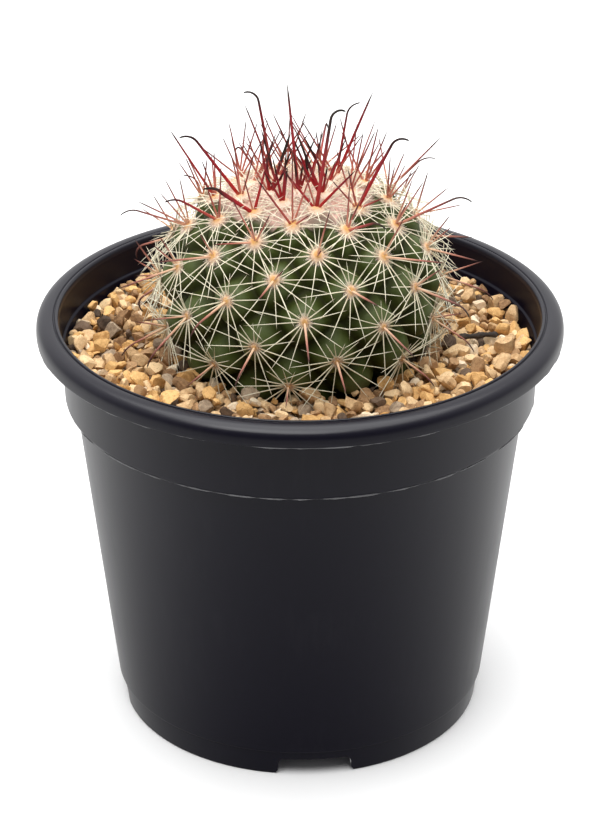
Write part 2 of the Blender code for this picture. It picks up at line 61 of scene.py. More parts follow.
Colour = Tuple[float, float, float]
Stops = Tuple[Tuple[float, Colour], ...]
Number = Union[int, float]
Faces = List[Tuple[int, ...]]
Mesh = Tuple[np.ndarray, Faces]
Span = Tuple[float, float]
Rows = Tuple[Tuple[float, ...], ...]


# ------------------------------------------------------------------ shader graph

class Wire:
    """A shader socket that takes part in Python arithmetic."""

    def __init__(self, graph: "Graph", socket: bpy.types.NodeSocket) -> None:
        """Hold a socket and the graph that it belongs to."""
        self.graph = graph
        self.socket = socket

    def __add__(self, other: "Operand") -> "Wire":
        """Return self + other."""
        return self.graph.math("ADD", self, other)

    def __sub__(self, other: "Operand") -> "Wire":
        """Return self - other."""
        return self.graph.math("SUBTRACT", self, other)

    def __rsub__(self, other: "Operand") -> "Wire":
        """Return other - self."""
        return self.graph.math("SUBTRACT", other, self)

    def __mul__(self, other: "Operand") -> "Wire":
        """Return self * other."""
        return self.graph.math("MULTIPLY", self, other)

    def __pow__(self, other: "Operand") -> "Wire":
        """Return self ** other."""
        return self.graph.math("POWER", self, other)

    __radd__ = __add__
    __rmul__ = __mul__


Operand = Union[Wire, Number]
SocketValue = Union[Wire, Number, Sequence[float]]


class Graph:
    """The node tree of a material or of the studio's surroundings."""

    def __init__(self, tree: bpy.types.NodeTree, shader: str = "Principled BSDF") -> None:
        """Hold a tree and its shader."""
        self.tree = tree
        self.shader = tree.nodes[shader]

    def add(
        self,
        kind: str,
        settings: Optional[Dict[str, object]] = None,
        sockets: Optional[Dict[Union[str, int], SocketValue]] = None,
        output: Union[str, int] = 0,
    ) -> Wire:
        """Add a node.

        Args:
            kind: The node's type, such as ShaderNodeTexNoise.
            settings: The node's own settings; "stops" holds a ramp's (place, colour) pairs.
            sockets: Values or wires for its input sockets, by name or number.
            output: Which output to return.

        Returns:
            The chosen output.
        """
        node = self.tree.nodes.new(kind)
        for name, value in (settings or {}).items():
            if name == "stops":
                self._set_stops(node.color_ramp, value)
            else:
                setattr(node, name, value)
        for name, value in (sockets or {}).items():
            self._feed(node.inputs[name], value)
        return Wire(self, node.outputs[output])

    def _feed(self, socket: bpy.types.NodeSocket, value: SocketValue) -> None:
        """Link a wire to a socket, or set the socket's value."""
        if isinstance(value, Wire):
            self.tree.links.new(value.socket, socket)
        else:
            socket.default_value = value

    @staticmethod
    def _set_stops(ramp: bpy.types.ColorRamp, stops: Stops) -> None:
        """Give a colour ramp its stops."""
        while len(ramp.elements) < len(stops):
            ramp.elements.new(1.0)
        for element, (place, colour) in zip(ramp.elements, stops):
            element.position = place
            element.color = (*colour, 1.0)

    def math(self, operation: str, first: Operand, second: Operand) -> Wire:
        """Add a Math node and return its value."""
        return self.add("ShaderNodeMath", {"operation": operation}, {0: first, 1: second})

    def clamped(self, value: Wire, low: float, high: float) -> Wire:
        """Return a value stretched so that low becomes 0 and high 1, and held between them."""
        return self.add("ShaderNodeMapRange", {"clamp": True}, {0: value, 1: low, 2: high})

    def mix(self, share: Operand, first: SocketValue, second: SocketValue) -> Wire:
        """Return a colour between two colours."""
        colours = {6: self._colour(first), 7: self._colour(second)}
        return self.add("ShaderNodeMix", {"data_type": "RGBA"}, {0: share, **colours}, 2)

    @staticmethod
    def _colour(value: SocketValue) -> SocketValue:
        """Return a plain colour with an alpha, and a wire as it is."""
        return value if isinstance(value, Wire) else (*value, 1.0)

    def ramp(self, share: Wire, stops: Stops) -> Wire:
        """Return the colour at a share along a colour ramp."""
        return self.add("ShaderNodeValToRGB", {"stops": stops}, {"Fac": share})

    def part(self, vector: Wire, axis: str) -> Wire:
        """Return one part of a vector: X, Y or Z."""
        return self.add("ShaderNodeSeparateXYZ", None, {0: vector}, axis)

    def place(self, stretch: Tuple[float, float, float] = (1.0, 1.0, 1.0)) -> Wire:
        """Return the surface's own coordinates, stretched along each axis."""
        here = self.add("ShaderNodeTexCoord", output="Object")
        return self.add("ShaderNodeMapping", None, {"Vector": here, "Scale": stretch})

    def noise(
        self,
        size: float,
        detail: float = 3.0,
        rough: float = 0.55,
        stretch: Tuple[float, float, float] = (1.0, 1.0, 1.0),
    ) -> Wire:
        """Return cloudy noise from 0 to 1.

        Args:
            size: The width of a cloud, in metres.
            detail: How many finer layers it has.
            rough: How strong the finer layers are.
            stretch: How much the pattern is squeezed along each axis.

        Returns:
            The noise.
        """
        sockets = {"Vector": self.place(stretch), "Scale": 1 / size, "Detail": detail}
        return self.add("ShaderNodeTexNoise", None, {**sockets, "Roughness": rough})

    def attribute(self, name: str) -> Wire:
        """Return a number stored on the mesh's points."""
        return self.add("ShaderNodeAttribute", {"attribute_name": name}, None, "Fac")

    def bump(self, height: Wire, depth: float, strength: float = 1.0) -> None:
        """Raise the surface by a height from 0 to 1 times a depth in metres."""
        sockets = {"Height": height, "Distance": depth, "Strength": strength}
        self.set(Normal=self.add("ShaderNodeBump", None, sockets))

    def set(self, **sockets: SocketValue) -> None:
        """Set or link the shader's sockets; a low line stands for a space."""
        for name, value in sockets.items():
            socket = self.shader.inputs[name.replace("_", " ")]
            is_colour = socket.type == "RGBA"
            self._feed(socket, self._colour(value) if is_colour else value)


# ------------------------------------------------------------------ finishes

@dataclass(frozen=True)
class Finish:
    """A surface finish: its material is made on first use and then shared."""

    name: str

    def material(self) -> bpy.types.Material:
        """Return the finish's material."""
        found = bpy.data.materials.get(self.name)
        if found is None:
            found = bpy.data.materials.new(self.name)
            found.use_nodes = True
            self.paint(Graph(found.node_tree))
        return found

    def paint(self, graph: Graph) -> None:
        """Fill a new graph with the finish's nodes."""
        raise NotImplementedError


@dataclass(frozen=True)
class PotPlastic(Finish):
    """Black moulded polypropylene: satin, a little dusty, with faint rubs from handling."""

    colour: Colour = (0.0030, 0.0024, 0.0078)
    dust: Colour = (0.030, 0.029, 0.033)
    # Up to this height the coat is weakest, and it grows to full at the glossy height: painted
    # shade, a darker reflection low on the wall.
    reflection_shade_top: float = 8 * MM
    glossy: float = 66 * MM
    inner_radius: float = 47.05 * MM
    edge: float = 0.1 * MM
    shelf_edge: float = 0.3 * MM
    shelf_width: float = 0.52 * MM
    flare_width: float = 0.25 * MM
    flare_height: float = 5 * MM
    rim_bottom: float = 81.5 * MM
    foot_gloss: float = 0.29
    wall_gloss: float = 0.34
    rim_gloss: float = 0.08
    # Painted shade inside the pot: how much of the coat and of the dust the inner wall loses.
    inner_shade_less_coat: float = 0.55
    inner_shade_less_dust: float = 0.8
    dust_cover: float = 0.10
    speck_cover: float = 0.08
    roughness: float = 0.33
    ior: float = 1.05
    coat_ior: float = 1.5
    coat_roughness: float = 0.30
    cloud_size: float = 22 * MM
    rub_size: float = 2.2 * MM
    speck_size: float = 0.5 * MM
    grain_size: float = 0.35 * MM
    grain_depth: float = 0.012 * MM

    def inside(self, graph: Graph, height: Wire) -> Wire:
        """Return 1 on the inner wall, from the grit up to the rim, and 0 elsewhere."""
        across, depth = (graph.part(graph.place(), axis) for axis in "XY")
        radius = (across * across + depth * depth) ** 0.5
        shelf = graph.clamped(height, SHELF_HEIGHT - self.shelf_edge, SHELF_HEIGHT)
        flare = graph.clamped(height, SHELF_HEIGHT, SHELF_HEIGHT + self.flare_height)
        limit = shelf * self.shelf_width + flare * self.flare_width + self.inner_radius
        within = graph.clamped(limit - radius, 0.0, self.edge / 2)
        return within * graph.clamped(height, COLLAR_BOTTOM, COLLAR_BOTTOM + self.edge)

    def paint(self, graph: Graph) -> None:
        """Mix plastic and dust, and let the gloss grow from the foot upwards: the weaker coat low
        down is painted shade, and less coat and dust on the inner wall paint the shade inside the
        pot.
        """
        cloud = graph.noise(self.cloud_size, 4, 0.6)
        rubs = graph.noise(self.rub_size, 5, 0.7, (1.0, 1.0, 0.18))
        dust = graph.clamped(cloud * rubs, 0.27, 0.46)
        speck = graph.clamped(graph.noise(self.speck_size, 2, 0.5), 0.70, 0.76)
        height = graph.part(graph.place(), "Z")
        inside = self.inside(graph, height)
        polish = graph.clamped(height, self.rim_bottom, self.rim_bottom + 2 * MM)
        # Painted shade: a weaker coat low on the wall darkens its reflection towards the foot.
        gloss = self.foot_gloss + graph.clamped(height, self.reflection_shade_top, self.glossy) * self.wall_gloss
        gloss = gloss + polish * self.rim_gloss
        dusty = dust * self.dust_cover + speck * self.speck_cover
        # Painted shade: the inner wall keeps little dust and a weaker coat, so it reads darker.
        dusty = dusty * (1 - inside * self.inner_shade_less_dust)
        graph.set(
            Base_Color=graph.mix(dusty, self.colour, self.dust),
            Roughness=self.roughness + dust * 0.10 + cloud * 0.08,
            IOR=self.ior,
            Coat_IOR=self.coat_ior,
            Coat_Roughness=self.coat_roughness,
            Coat_Weight=gloss * (1 - inside * self.inner_shade_less_coat),
        )
        graph.bump(graph.noise(self.grain_size, 3, 0.6), self.grain_depth, 0.5)


@dataclass(frozen=True)
class Stone(Finish):
    """A grain of grit: two tones of one colour, mottled, with dark specks and a matte surface."""

    light: Colour = (0.60, 0.42, 0.24)
    dark: Colour = (0.30, 0.18, 0.09)
    roughness: float = 0.78
    mottle_size: float = 0.8 * MM
    speck_size: float = 0.30 * MM
    pit_size: float = 0.24 * MM
    pit_depth: float = 0.09 * MM
    crust_tone: float = 0.30
    ior: float = 1.3

    def paint(self, graph: Graph) -> None:
        """Mottle the grain between its two tones."""
        tone = graph.attribute("tone")
        mottle = graph.noise(self.mottle_size, 4, 0.65)
        share = graph.clamped(mottle * 1.7 + tone * 0.8, 0.72, 1.55)
        ground = graph.mix(share, self.dark, self.light)
        speck = graph.clamped(graph.noise(self.speck_size, 3, 0.6), 0.58, 0.70)
        crust = tuple(self.crust_tone * part for part in self.dark)
        colour = graph.mix(speck * 0.55, ground, crust)
        graph.set(Base_Color=colour, Roughness=self.roughness, IOR=self.ior)
        graph.bump(graph.noise(self.pit_size, 4, 0.7), self.pit_depth, 0.8)


@dataclass(frozen=True)
class Soil(Finish):
    """Dark gritty potting mix."""

    colour: Colour = (0.030, 0.019, 0.012)
    crumb: Colour = (0.13, 0.085, 0.05)
    crumb_size: float = 0.9 * MM
    lump_size: float = 0.7 * MM
    lump_depth: float = 0.5 * MM

    def paint(self, graph: Graph) -> None:
        """Mix dark soil with paler crumbs."""
        crumb = graph.clamped(graph.noise(self.crumb_size, 5, 0.7), 0.48, 0.68)
        graph.set(Base_Color=graph.mix(crumb, self.colour, self.crumb), Roughness=0.95)
        graph.bump(graph.noise(self.lump_size, 5, 0.7), self.lump_depth, 0.9)


@dataclass(frozen=True)
class Skin(Finish):
    """Waxy green skin: painted shade darkens the valleys, and the tubercles carry a blue-grey that
    is partly a waxy coating and partly painted sheen.
    """

    deep: Colour = (0.015, 0.016, 0.0009)
    green: Colour = (0.043, 0.062, 0.0055)
    bloom_and_sheen: Colour = (0.150, 0.184, 0.088)
    felt: Colour = (0.80, 0.57, 0.49)
    patch_size: float = 3.2 * MM
    pore_size: float = 0.20 * MM
    grain_size: float = 0.28 * MM
    grain_depth: float = 0.035 * MM

    def paint(self, graph: Graph) -> None:
        """Colour the skin from valley to tip, with painted shade in the valleys and painted sheen
        on the tips, and felt it over at the crown.
        """
        valley = graph.attribute("valley")
        patch = graph.noise(self.patch_size, 3, 0.55)
        # Painted shade: towards the valleys the green darkens to the deep tone.
        shade = graph.clamped(valley + patch * 0.25, 0.55, 1.12)
        ground = graph.mix(shade, self.green, self.deep)
        # Painted sheen, partly a real waxy coating: the blue-grey is strongest on the tubercle
        # tips.
        bloom_and_sheen_share = graph.clamped((1 - valley) * 0.95 + patch * 0.55, 0.62, 1.25)
        pores = graph.clamped(graph.noise(self.pore_size, 2, 0.5), 0.42, 0.70)
        bare = graph.mix(bloom_and_sheen_share * (0.52 + pores * 0.20), ground, self.bloom_and_sheen)
        graph.set(
            Base_Color=graph.mix(graph.attribute("felted"), bare, self.felt),
            Roughness=0.40 + patch * 0.14 + valley * 0.25,
            IOR=1.28,
            Coat_Roughness=0.36,
            # Less coat in the valleys is painted shade: they reflect less.
            Coat_Weight=(1 - valley) * 0.15,
        )
        graph.bump(graph.noise(self.grain_size, 3, 0.6), self.grain_depth, 0.6)


@dataclass(frozen=True)
class Thorn(Finish):
    """A horny spine coloured from foot to tip, in a young tone and an old one."""

    young: Stops = ()
    old: Stops = ()
    roughness: float = 0.42
    shine: float = 1.42
    fade: float = 0.25
    horn: Colour = (0.90, 0.84, 0.68)
    streak_size: float = 0.6 * MM
    unevenness: float = 0.12
    middle_tone: float = 0.4

    def paint(self, graph: Graph) -> None:
        """Blend the young and the old colours by each spine's own youth."""
        along = graph.attribute("along")
        tone = graph.attribute("tone")
        youth = graph.attribute("youth")
        streak = graph.noise(self.streak_size, 3, 0.6)
        shift = (tone - self.middle_tone) * self.unevenness
        place = graph.clamped(along + shift, 0.0, 1.0)
        colour = graph.mix(youth, graph.ramp(place, self.old), graph.ramp(place, self.young))
        shade = graph.clamped(tone * 0.6 + streak * 0.4, 0.0, 1.0)
        graph.set(
            Base_Color=graph.mix(shade * self.fade, colour, self.horn),
            Roughness=self.roughness + streak * 0.12,
            IOR=self.shine,
        )


@dataclass(frozen=True)
class Wool(Finish):
    """Felt and wool of the areoles: pale hairs over a tan ground."""

    margin: Colour = (0.84, 0.69, 0.57)
    heart: Colour = (0.58, 0.30, 0.085)
    young: Colour = (0.98, 0.75, 0.66)
    tip: Colour = (0.97, 0.87, 0.79)
    roughness: float = 0.9

    def paint(self, graph: Graph) -> None:
        """Colour each hair by its place in the areole and by its age, paler to its tip."""
        heart = graph.attribute("heart")
        along = graph.attribute("along")
        tone = graph.attribute("tone")
        ground = graph.mix(heart, self.margin, self.heart)
        fresh = graph.attribute("youth") * (1 - heart * 0.35) * 0.95
        pale = (along * 0.25 + tone * 0.20) * (1 - heart * 0.7)
        colour = graph.mix(pale, graph.mix(fresh, ground, self.young), self.tip)
        graph.set(Base_Color=colour, Roughness=self.roughness)


@dataclass(frozen=True)
class Bark(Finish):
    """Dead twig: dark, dry and furrowed."""

    colour: Colour = (0.020, 0.014, 0.011)
    worn: Colour = (0.12, 0.085, 0.06)
    furrow_size: float = 0.5 * MM
    furrow_depth: float = 0.2 * MM

    def paint(self, graph: Graph) -> None:
        """Streak the bark along the twig."""
        streak = graph.noise(self.furrow_size, 5, 0.7, (0.25, 1.0, 1.0))
        graph.set(
            Base_Color=graph.mix(graph.clamped(streak, 0.5, 0.75), self.colour, self.worn),
            Roughness=0.85,
        )
        graph.bump(streak, self.furrow_depth, 0.8)


@dataclass(frozen=True)
class StudioWhite(Finish):
    """The pale floor of a photographer's table."""

    colour: Colour = (0.93, 0.93, 0.93)

    def paint(self, graph: Graph) -> None:
        """Keep the floor plain, with the least unevenness in its sheen."""
        graph.set(Base_Color=self.colour, Roughness=0.75 + graph.noise(0.2, 2) * 0.1)


RADIAL_THORN = Thorn(
    "cream_radial_spine",
    young=(
        (0.0, (0.80, 0.52, 0.36)),
        (0.20, (0.83, 0.73, 0.54)),
        (0.80, (0.83, 0.79, 0.62)),
        (1.0, (0.66, 0.34, 0.28)),
    ),
    old=(
        (0.0, (0.58, 0.34, 0.15)),
        (0.15, (0.70, 0.63, 0.44)),
        (0.85, (0.72, 0.69, 0.53)),
        (1.0, (0.58, 0.46, 0.32)),
    ),
)
CENTRAL_THORN = Thorn(
    "red_central_spine",
    young=(
        (0.0, (0.60, 0.20, 0.11)),
        (0.09, (0.42, 0.022, 0.023)),
        (0.40, (0.30, 0.009, 0.017)),
        (0.64, (0.20, 0.011, 0.020)),
        (0.80, (0.026, 0.004, 0.006)),
        (1.0, (0.004, 0.003, 0.0035)),
    ),
    old=(
        (0.0, (0.78, 0.57, 0.36)),
        (0.20, (0.70, 0.44, 0.29)),
        (0.50, (0.38, 0.15, 0.115)),
        (0.80, (0.095, 0.037, 0.034)),
        (1.0, (0.018, 0.012, 0.012)),
    ),
    roughness=0.46,
    shine=1.07,
    fade=0.04,
)
AREOLE_WOOL = Wool("areole_wool")
BLACK_PLASTIC = PotPlastic("black_polypropylene")
# Light grey plastic for the flash along the pot's edges: a painted glint where the edges catch the
# light.
EDGE_GLINT_PLASTIC = PotPlastic("edge_glint_polypropylene", (0.13, 0.13, 0.135), (0.34, 0.33, 0.32))
GREEN_SKIN = Skin("waxy_green_skin")
# A near-black stone for the bed under the grains: painted shade in the gaps between them.
GAP_SHADE_STONE = Stone("gap_shade_stone", (0.15, 0.095, 0.050), (0.050, 0.028, 0.014))
DARK_SOIL = Soil("potting_mix_soil")
TWIG_BARK = Bark("dead_bark")
FLOOR_WHITE = StudioWhite("studio_white")


class Grit(Enum):
    """The kinds of stone in the grit: finish, share of the grains and size against the usual."""

    SAND = (Stone("sand_stone", (0.76, 0.54, 0.30), (0.43, 0.255, 0.12)), 0.365, 1.0)
    OCHRE = (Stone("ochre_stone", (0.74, 0.455, 0.185), (0.39, 0.20, 0.064)), 0.23, 1.0)
    BROWN = (Stone("brown_stone", (0.45, 0.27, 0.135), (0.17, 0.088, 0.040)), 0.18, 0.95)
    GREY = (Stone("grey_stone", (0.44, 0.335, 0.23), (0.16, 0.108, 0.070)), 0.075, 0.9)
    PALE = (Stone("pale_stone", (0.86, 0.72, 0.52), (0.59, 0.43, 0.27), 0.6), 0.10, 0.85)
    DARK = (Stone("dark_stone", (0.14, 0.090, 0.058), (0.040, 0.025, 0.016), 0.7), 0.045, 1.1)

    @property
    def finish(self) -> Stone:
        """Return the stone's finish."""
        return self.value[0]

    @property
    def share(self) -> float:
        """Return the share of the grains that are of this stone."""
        return self.value[1]

    @property
    def size(self) -> float:
        """Return the stone's size against the usual one."""
        return self.value[2]


# ------------------------------------------------------------------ mesh tools

class Shapes:
    """Points, faces and point values gathered from many small shapes into one piece."""

    def __init__(self) -> None:
        """Start with nothing gathered."""
        self.points: List[np.ndarray] = []
        self.faces: Faces = []
        self.values: Dict[str, List[np.ndarray]] = {}
        self.count = 0

    def add(self, points: np.ndarray, faces: Sequence[Tuple[int, ...]], **values: object) -> None:
        """Add a shape.

        Args:
            points: Its points, one row each.
            faces: Its faces, as numbers of its own points.
            **values: Named point values, one number or one for each point.
        """
        start = self.count
        self.points.append(points)
        self.faces.extend(tuple(corner + start for corner in face) for face in faces)
        for name, value in values.items():
            spread = np.broadcast_to(np.asarray(value, float), (len(points),))
            self.values.setdefault(name, []).append(spread)
        self.count += len(points)

    def make(self, name: str, finish: Finish) -> bpy.types.Object:
        """Make the gathered shapes into one smooth-shaded object.

        Args:
            name: The piece's name.
            finish: Its finish.

        Returns:
            The new object.
        """
        mesh = bpy.data.meshes.new(name)
        mesh.from_pydata(np.concatenate(self.points).tolist(), [], self.faces)
        mesh.shade_smooth()
        for key, parts in self.values.items():
            layer = mesh.attributes.new(key, "FLOAT", "POINT")
            layer.data.foreach_set("value", np.concatenate(parts).astype(np.float32))
        mesh.materials.append(finish.material())
        piece = bpy.data.objects.new(name, mesh)
        bpy.context.scene.collection.objects.link(piece)
        return piece


def settle(piece: bpy.types.Object, replaced: Sequence[str] = ()) -> None:
    """Fix a piece to the part's one body, hide the solids it stands for, and log its name and
    triangle count.
    """
    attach(piece, "root")
    if replaced:
        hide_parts(*replaced)
    triangles = sum(len(face.vertices) - 2 for face in piece.data.polygons)
    log.info("%s: %d triangles", piece.name, triangles)


def faded(value: Union[float, np.ndarray], start: float, rate: float) -> np.ndarray:
    """Return start less rate times a value, held between 0 and 1."""
    return np.clip(start - rate * value, 0.0, 1.0)


def unit(vector: np.ndarray) -> np.ndarray:
    """Return vectors scaled to length one."""
    return vector / np.linalg.norm(vector, axis=-1, keepdims=True)


def around(azimuth: np.ndarray) -> np.ndarray:
    """Return level directions; azimuth 0 is the front (-Y) and it grows towards +X."""
    azimuth = np.asarray(azimuth, float)
    return np.stack([np.sin(azimuth), -np.cos(azimuth), np.zeros_like(azimuth)], axis=-1)


def tube(path: np.ndarray, radii: np.ndarray, sides: int) -> Mesh:
    """Sweep a round section along a path that ends in a point.

    Args:
        path: The path's points.
        radii: The radius at each point but the last, which is the tip.
        sides: How many sides the section has.

    Returns:
        The tube's points and faces.
    """
    runs = unit(np.gradient(path, axis=0))
    helper = UP if abs(runs[0][2]) < 0.9 else np.array((1.0, 0.0, 0.0))
    across = unit(np.cross(runs[0], helper))
    turns = np.arange(sides) * math.tau / sides
    points = []
    for here, run, radius in zip(path[:-1], runs[:-1], radii):
        across = unit(across - run * across.dot(run))
        other = np.cross(run, across)
        ring = np.cos(turns)[:, None] * across + np.sin(turns)[:, None] * other
        points.append(here + ring * radius)
    points.append(path[-1:])
    return np.concatenate(points), tube_faces(len(path) - 1, sides)


def grid_faces(rings: int, width: int, closed: bool = False) -> Faces:
    """Return the faces between rings of points.

    Args:
        rings: How many rings there are.
        width: How many points each ring has.
        closed: Whether the last ring is joined to the first.

    Returns:
        The faces, ring by ring.
    """
    faces = []
    for ring in range(rings if closed else rings - 1):
        low, high = ring * width, (ring + 1) % rings * width
        for here in range(width):
            after = (here + 1) % width
            faces.append((low + here, high + here, high + after, low + after))
    return faces


def tube_faces(rings: int, sides: int) -> Faces:
    """Return the faces of a tube of some rings that ends in a point, closed at its foot."""
    faces = [tuple(reversed(range(sides)))]
    faces.extend((low, after, above, high) for low, high, above, after in grid_faces(rings, sides))
    last, tip = (rings - 1) * sides, rings * sides
    faces.extend((last + side, last + (side + 1) % sides, tip) for side in range(sides))
    return faces


def turned(outline: np.ndarray, columns: int) -> Mesh:
    """Turn a closed outline of (radius, height) rows about the pot's axis.

    Args:
        outline: The outline's points, none of them on the axis.
        columns: How many columns go round.

    Returns:
        The points and faces of the turned shape.
    """
    turns = around(np.arange(columns) * math.tau / columns)
    points = outline[None, :, :1] * turns[:, None, :] + outline[None, :, 1:] * UP
    return points.reshape(-1, 3), grid_faces(columns, len(outline), closed=True)


def prism_faces(corners: int) -> Faces:
    """Return the faces of a prism between two outlines of some corners each."""
    faces = [tuple(range(corners)), tuple(reversed(range(corners, 2 * corners)))]
    for here in range(corners):
        after = (here + 1) % corners
        faces.append((here, here + corners, after + corners, after))
    return faces


def cube_sphere(cuts: int) -> Mesh:
    """Return the points and faces of a ball made from a cube with its sides cut into squares."""
    steps = np.tan(np.linspace(-1, 1, cuts + 1) * math.pi / 4)
    numbers: Dict[Tuple[float, ...], int] = {}
    faces = []
    for axis, sign in ((axis, sign) for axis in range(3) for sign in (-1, 1)):
        for row, column in np.ndindex(cuts, cuts):
            corners = []
            for up, across in ((0, 0), (0, 1), (1, 1), (1, 0)):
                place = np.roll((sign, steps[row + up], steps[column + across]), axis)
                corners.append(numbers.setdefault(tuple(np.round(place, 6)), len(numbers)))
            faces.append(tuple(corners[::-sign]))
    return unit(np.array(list(numbers))), faces


def rounded(corners: Sequence[Tuple[float, float, float]], steps: int) -> np.ndarray:
    """Round the corners of a closed outline.

    Args:
        corners: (radius, height, rounding) of each corner, in metres.
        steps: How many points each round takes.

    Returns:
        The outline's (radius, height) points.
    """
    places = np.array([corner[:2] for corner in corners])
    out = []
    for number, (_, _, rounding) in enumerate(corners):
        here = places[number]
        before = places[number - 1] - here
        after = places[(number + 1) % len(places)] - here
        if rounding == 0:
            out.append(here)
            continue
        reach_before = min(rounding, 0.45 * np.linalg.norm(before))
        reach_after = min(rounding, 0.45 * np.linalg.norm(after))
        start = here + unit(before) * reach_before
        end = here + unit(after) * reach_after
        for share in np.linspace(0, 1, steps):
            rest = 1 - share
            out.append(rest ** 2 * start + 2 * share * rest * here + share ** 2 * end)
    return np.array(out)


# ------------------------------------------------------------------ pot

@dataclass
class Pot:
    """The nursery pot: rolled rim, collar, tapering wall and a foot ring with notches."""

    rim_radius: float
    rim_height: float
    collar_radius: float = 47.2 * MM
    collar_top_radius: float = 47.9 * MM
    wall_top_radius: float = 45.15 * MM
    wall_bottom_radius: float = 38.05 * MM
    wall: float = 1.0 * MM
    skirt_bottom: float = 82.0 * MM
    foot_band_top: float = 5.8 * MM
    foot_radius: float = 36.9 * MM
    floor_underside: float = 4.2 * MM
    notch_width: float = 14.7 * MM
    notch_height: float = 3.8 * MM
    notch_azimuth: float = math.radians(4.6)
    notches: int = 4
    drains: int = 8
    drain_radius: float = 3.4 * MM
    centre_drain: float = 4.0 * MM
    drain_circle: float = 24.0 * MM
    columns: int = 240
    round_steps: int = 5
    sharp_angle: float = math.radians(48)
    notch_flare: Rows = ((1.3, 0.0), (0.5, 0.25), (0.12, 0.8), (0.0, 1.5))
    notch_corner: float = 1.3 * MM
    drain_columns: int = 32
    flash_columns: int = 360
    flash_sides: int = 5
    flash_least: float = 0.01 * MM
    flash_most: float = 0.19 * MM
    flash_window: int = 5
    flash_bare: float = 0.46
    flash_rise: float = 0.20

    def outline(self) -> np.ndarray:
        """Return the pot's closed outline, up the outside and down the inside."""
        rim, top = self.rim_radius, self.rim_height
        wall, collar, shelf = self.wall, COLLAR_BOTTOM, SHELF_HEIGHT
        floor_top = self.floor_underside + 1.2 * MM
        inner_top = self.collar_top_radius - wall
        corners = [
            (self.centre_drain, self.floor_underside, 0),
            (self.foot_radius - 1.7 * MM, self.floor_underside, 0.3 * MM),
            (self.foot_radius - 1.7 * MM, 0, 0.3 * MM),
            (self.foot_radius, 0, 0.4 * MM),
            (self.foot_radius + 0.62 * MM, self.foot_band_top - 0.25 * MM, 0.15 * MM),
            (self.wall_bottom_radius, self.foot_band_top, 0.25 * MM),
            (self.wall_top_radius, collar - 0.35 * MM, 0.5 * MM),
            (self.collar_radius - 0.5 * MM, collar - 0.3 * MM, 0.3 * MM),
            (self.collar_radius, collar + 0.35 * MM, 0.45 * MM),
            (self.collar_top_radius, top - 2.4 * MM, 0.4 * MM),
            (rim - 1.1 * MM, top - 2.3 * MM, 0.5 * MM),
            (rim - 0.9 * MM, self.skirt_bottom, 0.3 * MM),
            (rim - 0.1 * MM, self.skirt_bottom - 0.05 * MM, 0.35 * MM),
            (rim, self.skirt_bottom + 0.6 * MM, 0.4 * MM),
            (rim - 0.05 * MM, top - 1.90 * MM, 0.6 * MM),
            (rim - 0.45 * MM, top - 1.00 * MM, 0.5 * MM),
            (rim - 1.30 * MM, top - 0.38 * MM, 0.6 * MM),
            (rim - 2.40 * MM, top - 0.10 * MM, 0.6 * MM),
            (rim - 3.35 * MM, top - 0.12 * MM, 0.2 * MM),
            (rim - 3.50 * MM, top - 0.40 * MM, 0.12 * MM),
            (rim - 3.72 * MM, top - 0.40 * MM, 0.12 * MM),
            (rim - 3.85 * MM, top - 0.02 * MM, 0.25 * MM),
            (rim - 4.45 * MM, top - 0.15 * MM, 0.5 * MM),
            (rim - 4.75 * MM, top - 1.3 * MM, 0.6 * MM),
            (inner_top + 0.55 * MM, shelf, 0.2 * MM),
            (inner_top, shelf - 0.3 * MM, 0.2 * MM),
            (self.collar_radius - wall, collar + 0.2 * MM, 0.5 * MM),
            (self.wall_top_radius - wall, collar - wall, 0.5 * MM),
            (self.wall_bottom_radius - wall, floor_top + 1.2 * MM, 1.0 * MM),
            (self.foot_radius - 2.2 * MM, floor_top, 0.8 * MM),
            (self.centre_drain, floor_top, 0),
        ]
        return rounded(corners, self.round_steps)

    def add_notch(self, shapes: Shapes, index: int) -> None:
        """Add the cutter of one arch through the foot ring."""
        half, top, corner = self.notch_width / 2, self.notch_height, self.notch_corner
        flare = [(half + out * MM, up * MM) for out, up in self.notch_flare]
        arch = [(-flare[0][0], -top), (flare[0][0], -top), *flare]
        for centre, first in ((half - corner, 0), (corner - half, 90)):
            for turn in np.radians(first + np.linspace(0, 90, 6)):
                side, rise = centre + corner * math.cos(turn), corner * math.sin(turn)
                arch.append((side, top - corner + rise))
        arch.extend((-side, rise) for side, rise in reversed(flare))
        azimuth = self.notch_azimuth + math.tau * index / self.notches
        across, out = around(azimuth + math.pi / 2), around(azimuth)
        reach = (self.foot_radius + 4 * MM, self.foot_radius - 6 * MM)
        points = [across * side + out * depth + UP * rise for depth in reach for side, rise in arch]
        shapes.add(np.array(points), prism_faces(len(arch)))

    def add_drain(self, shapes: Shapes, index: int) -> None:
        """Add the cutter of one round drainage hole in the floor."""
        azimuth = self.notch_azimuth + math.tau * index / self.drains
        centre = around(azimuth) * self.drain_circle
        turns = np.arange(self.drain_columns) * math.tau / self.drain_columns
        ring = centre + around(turns) * self.drain_radius
        heights = (self.floor_underside + 3 * MM, self.floor_underside - MM)
        points = np.concatenate([ring + UP * height for height in heights])
        shapes.add(points, prism_faces(len(ring)))

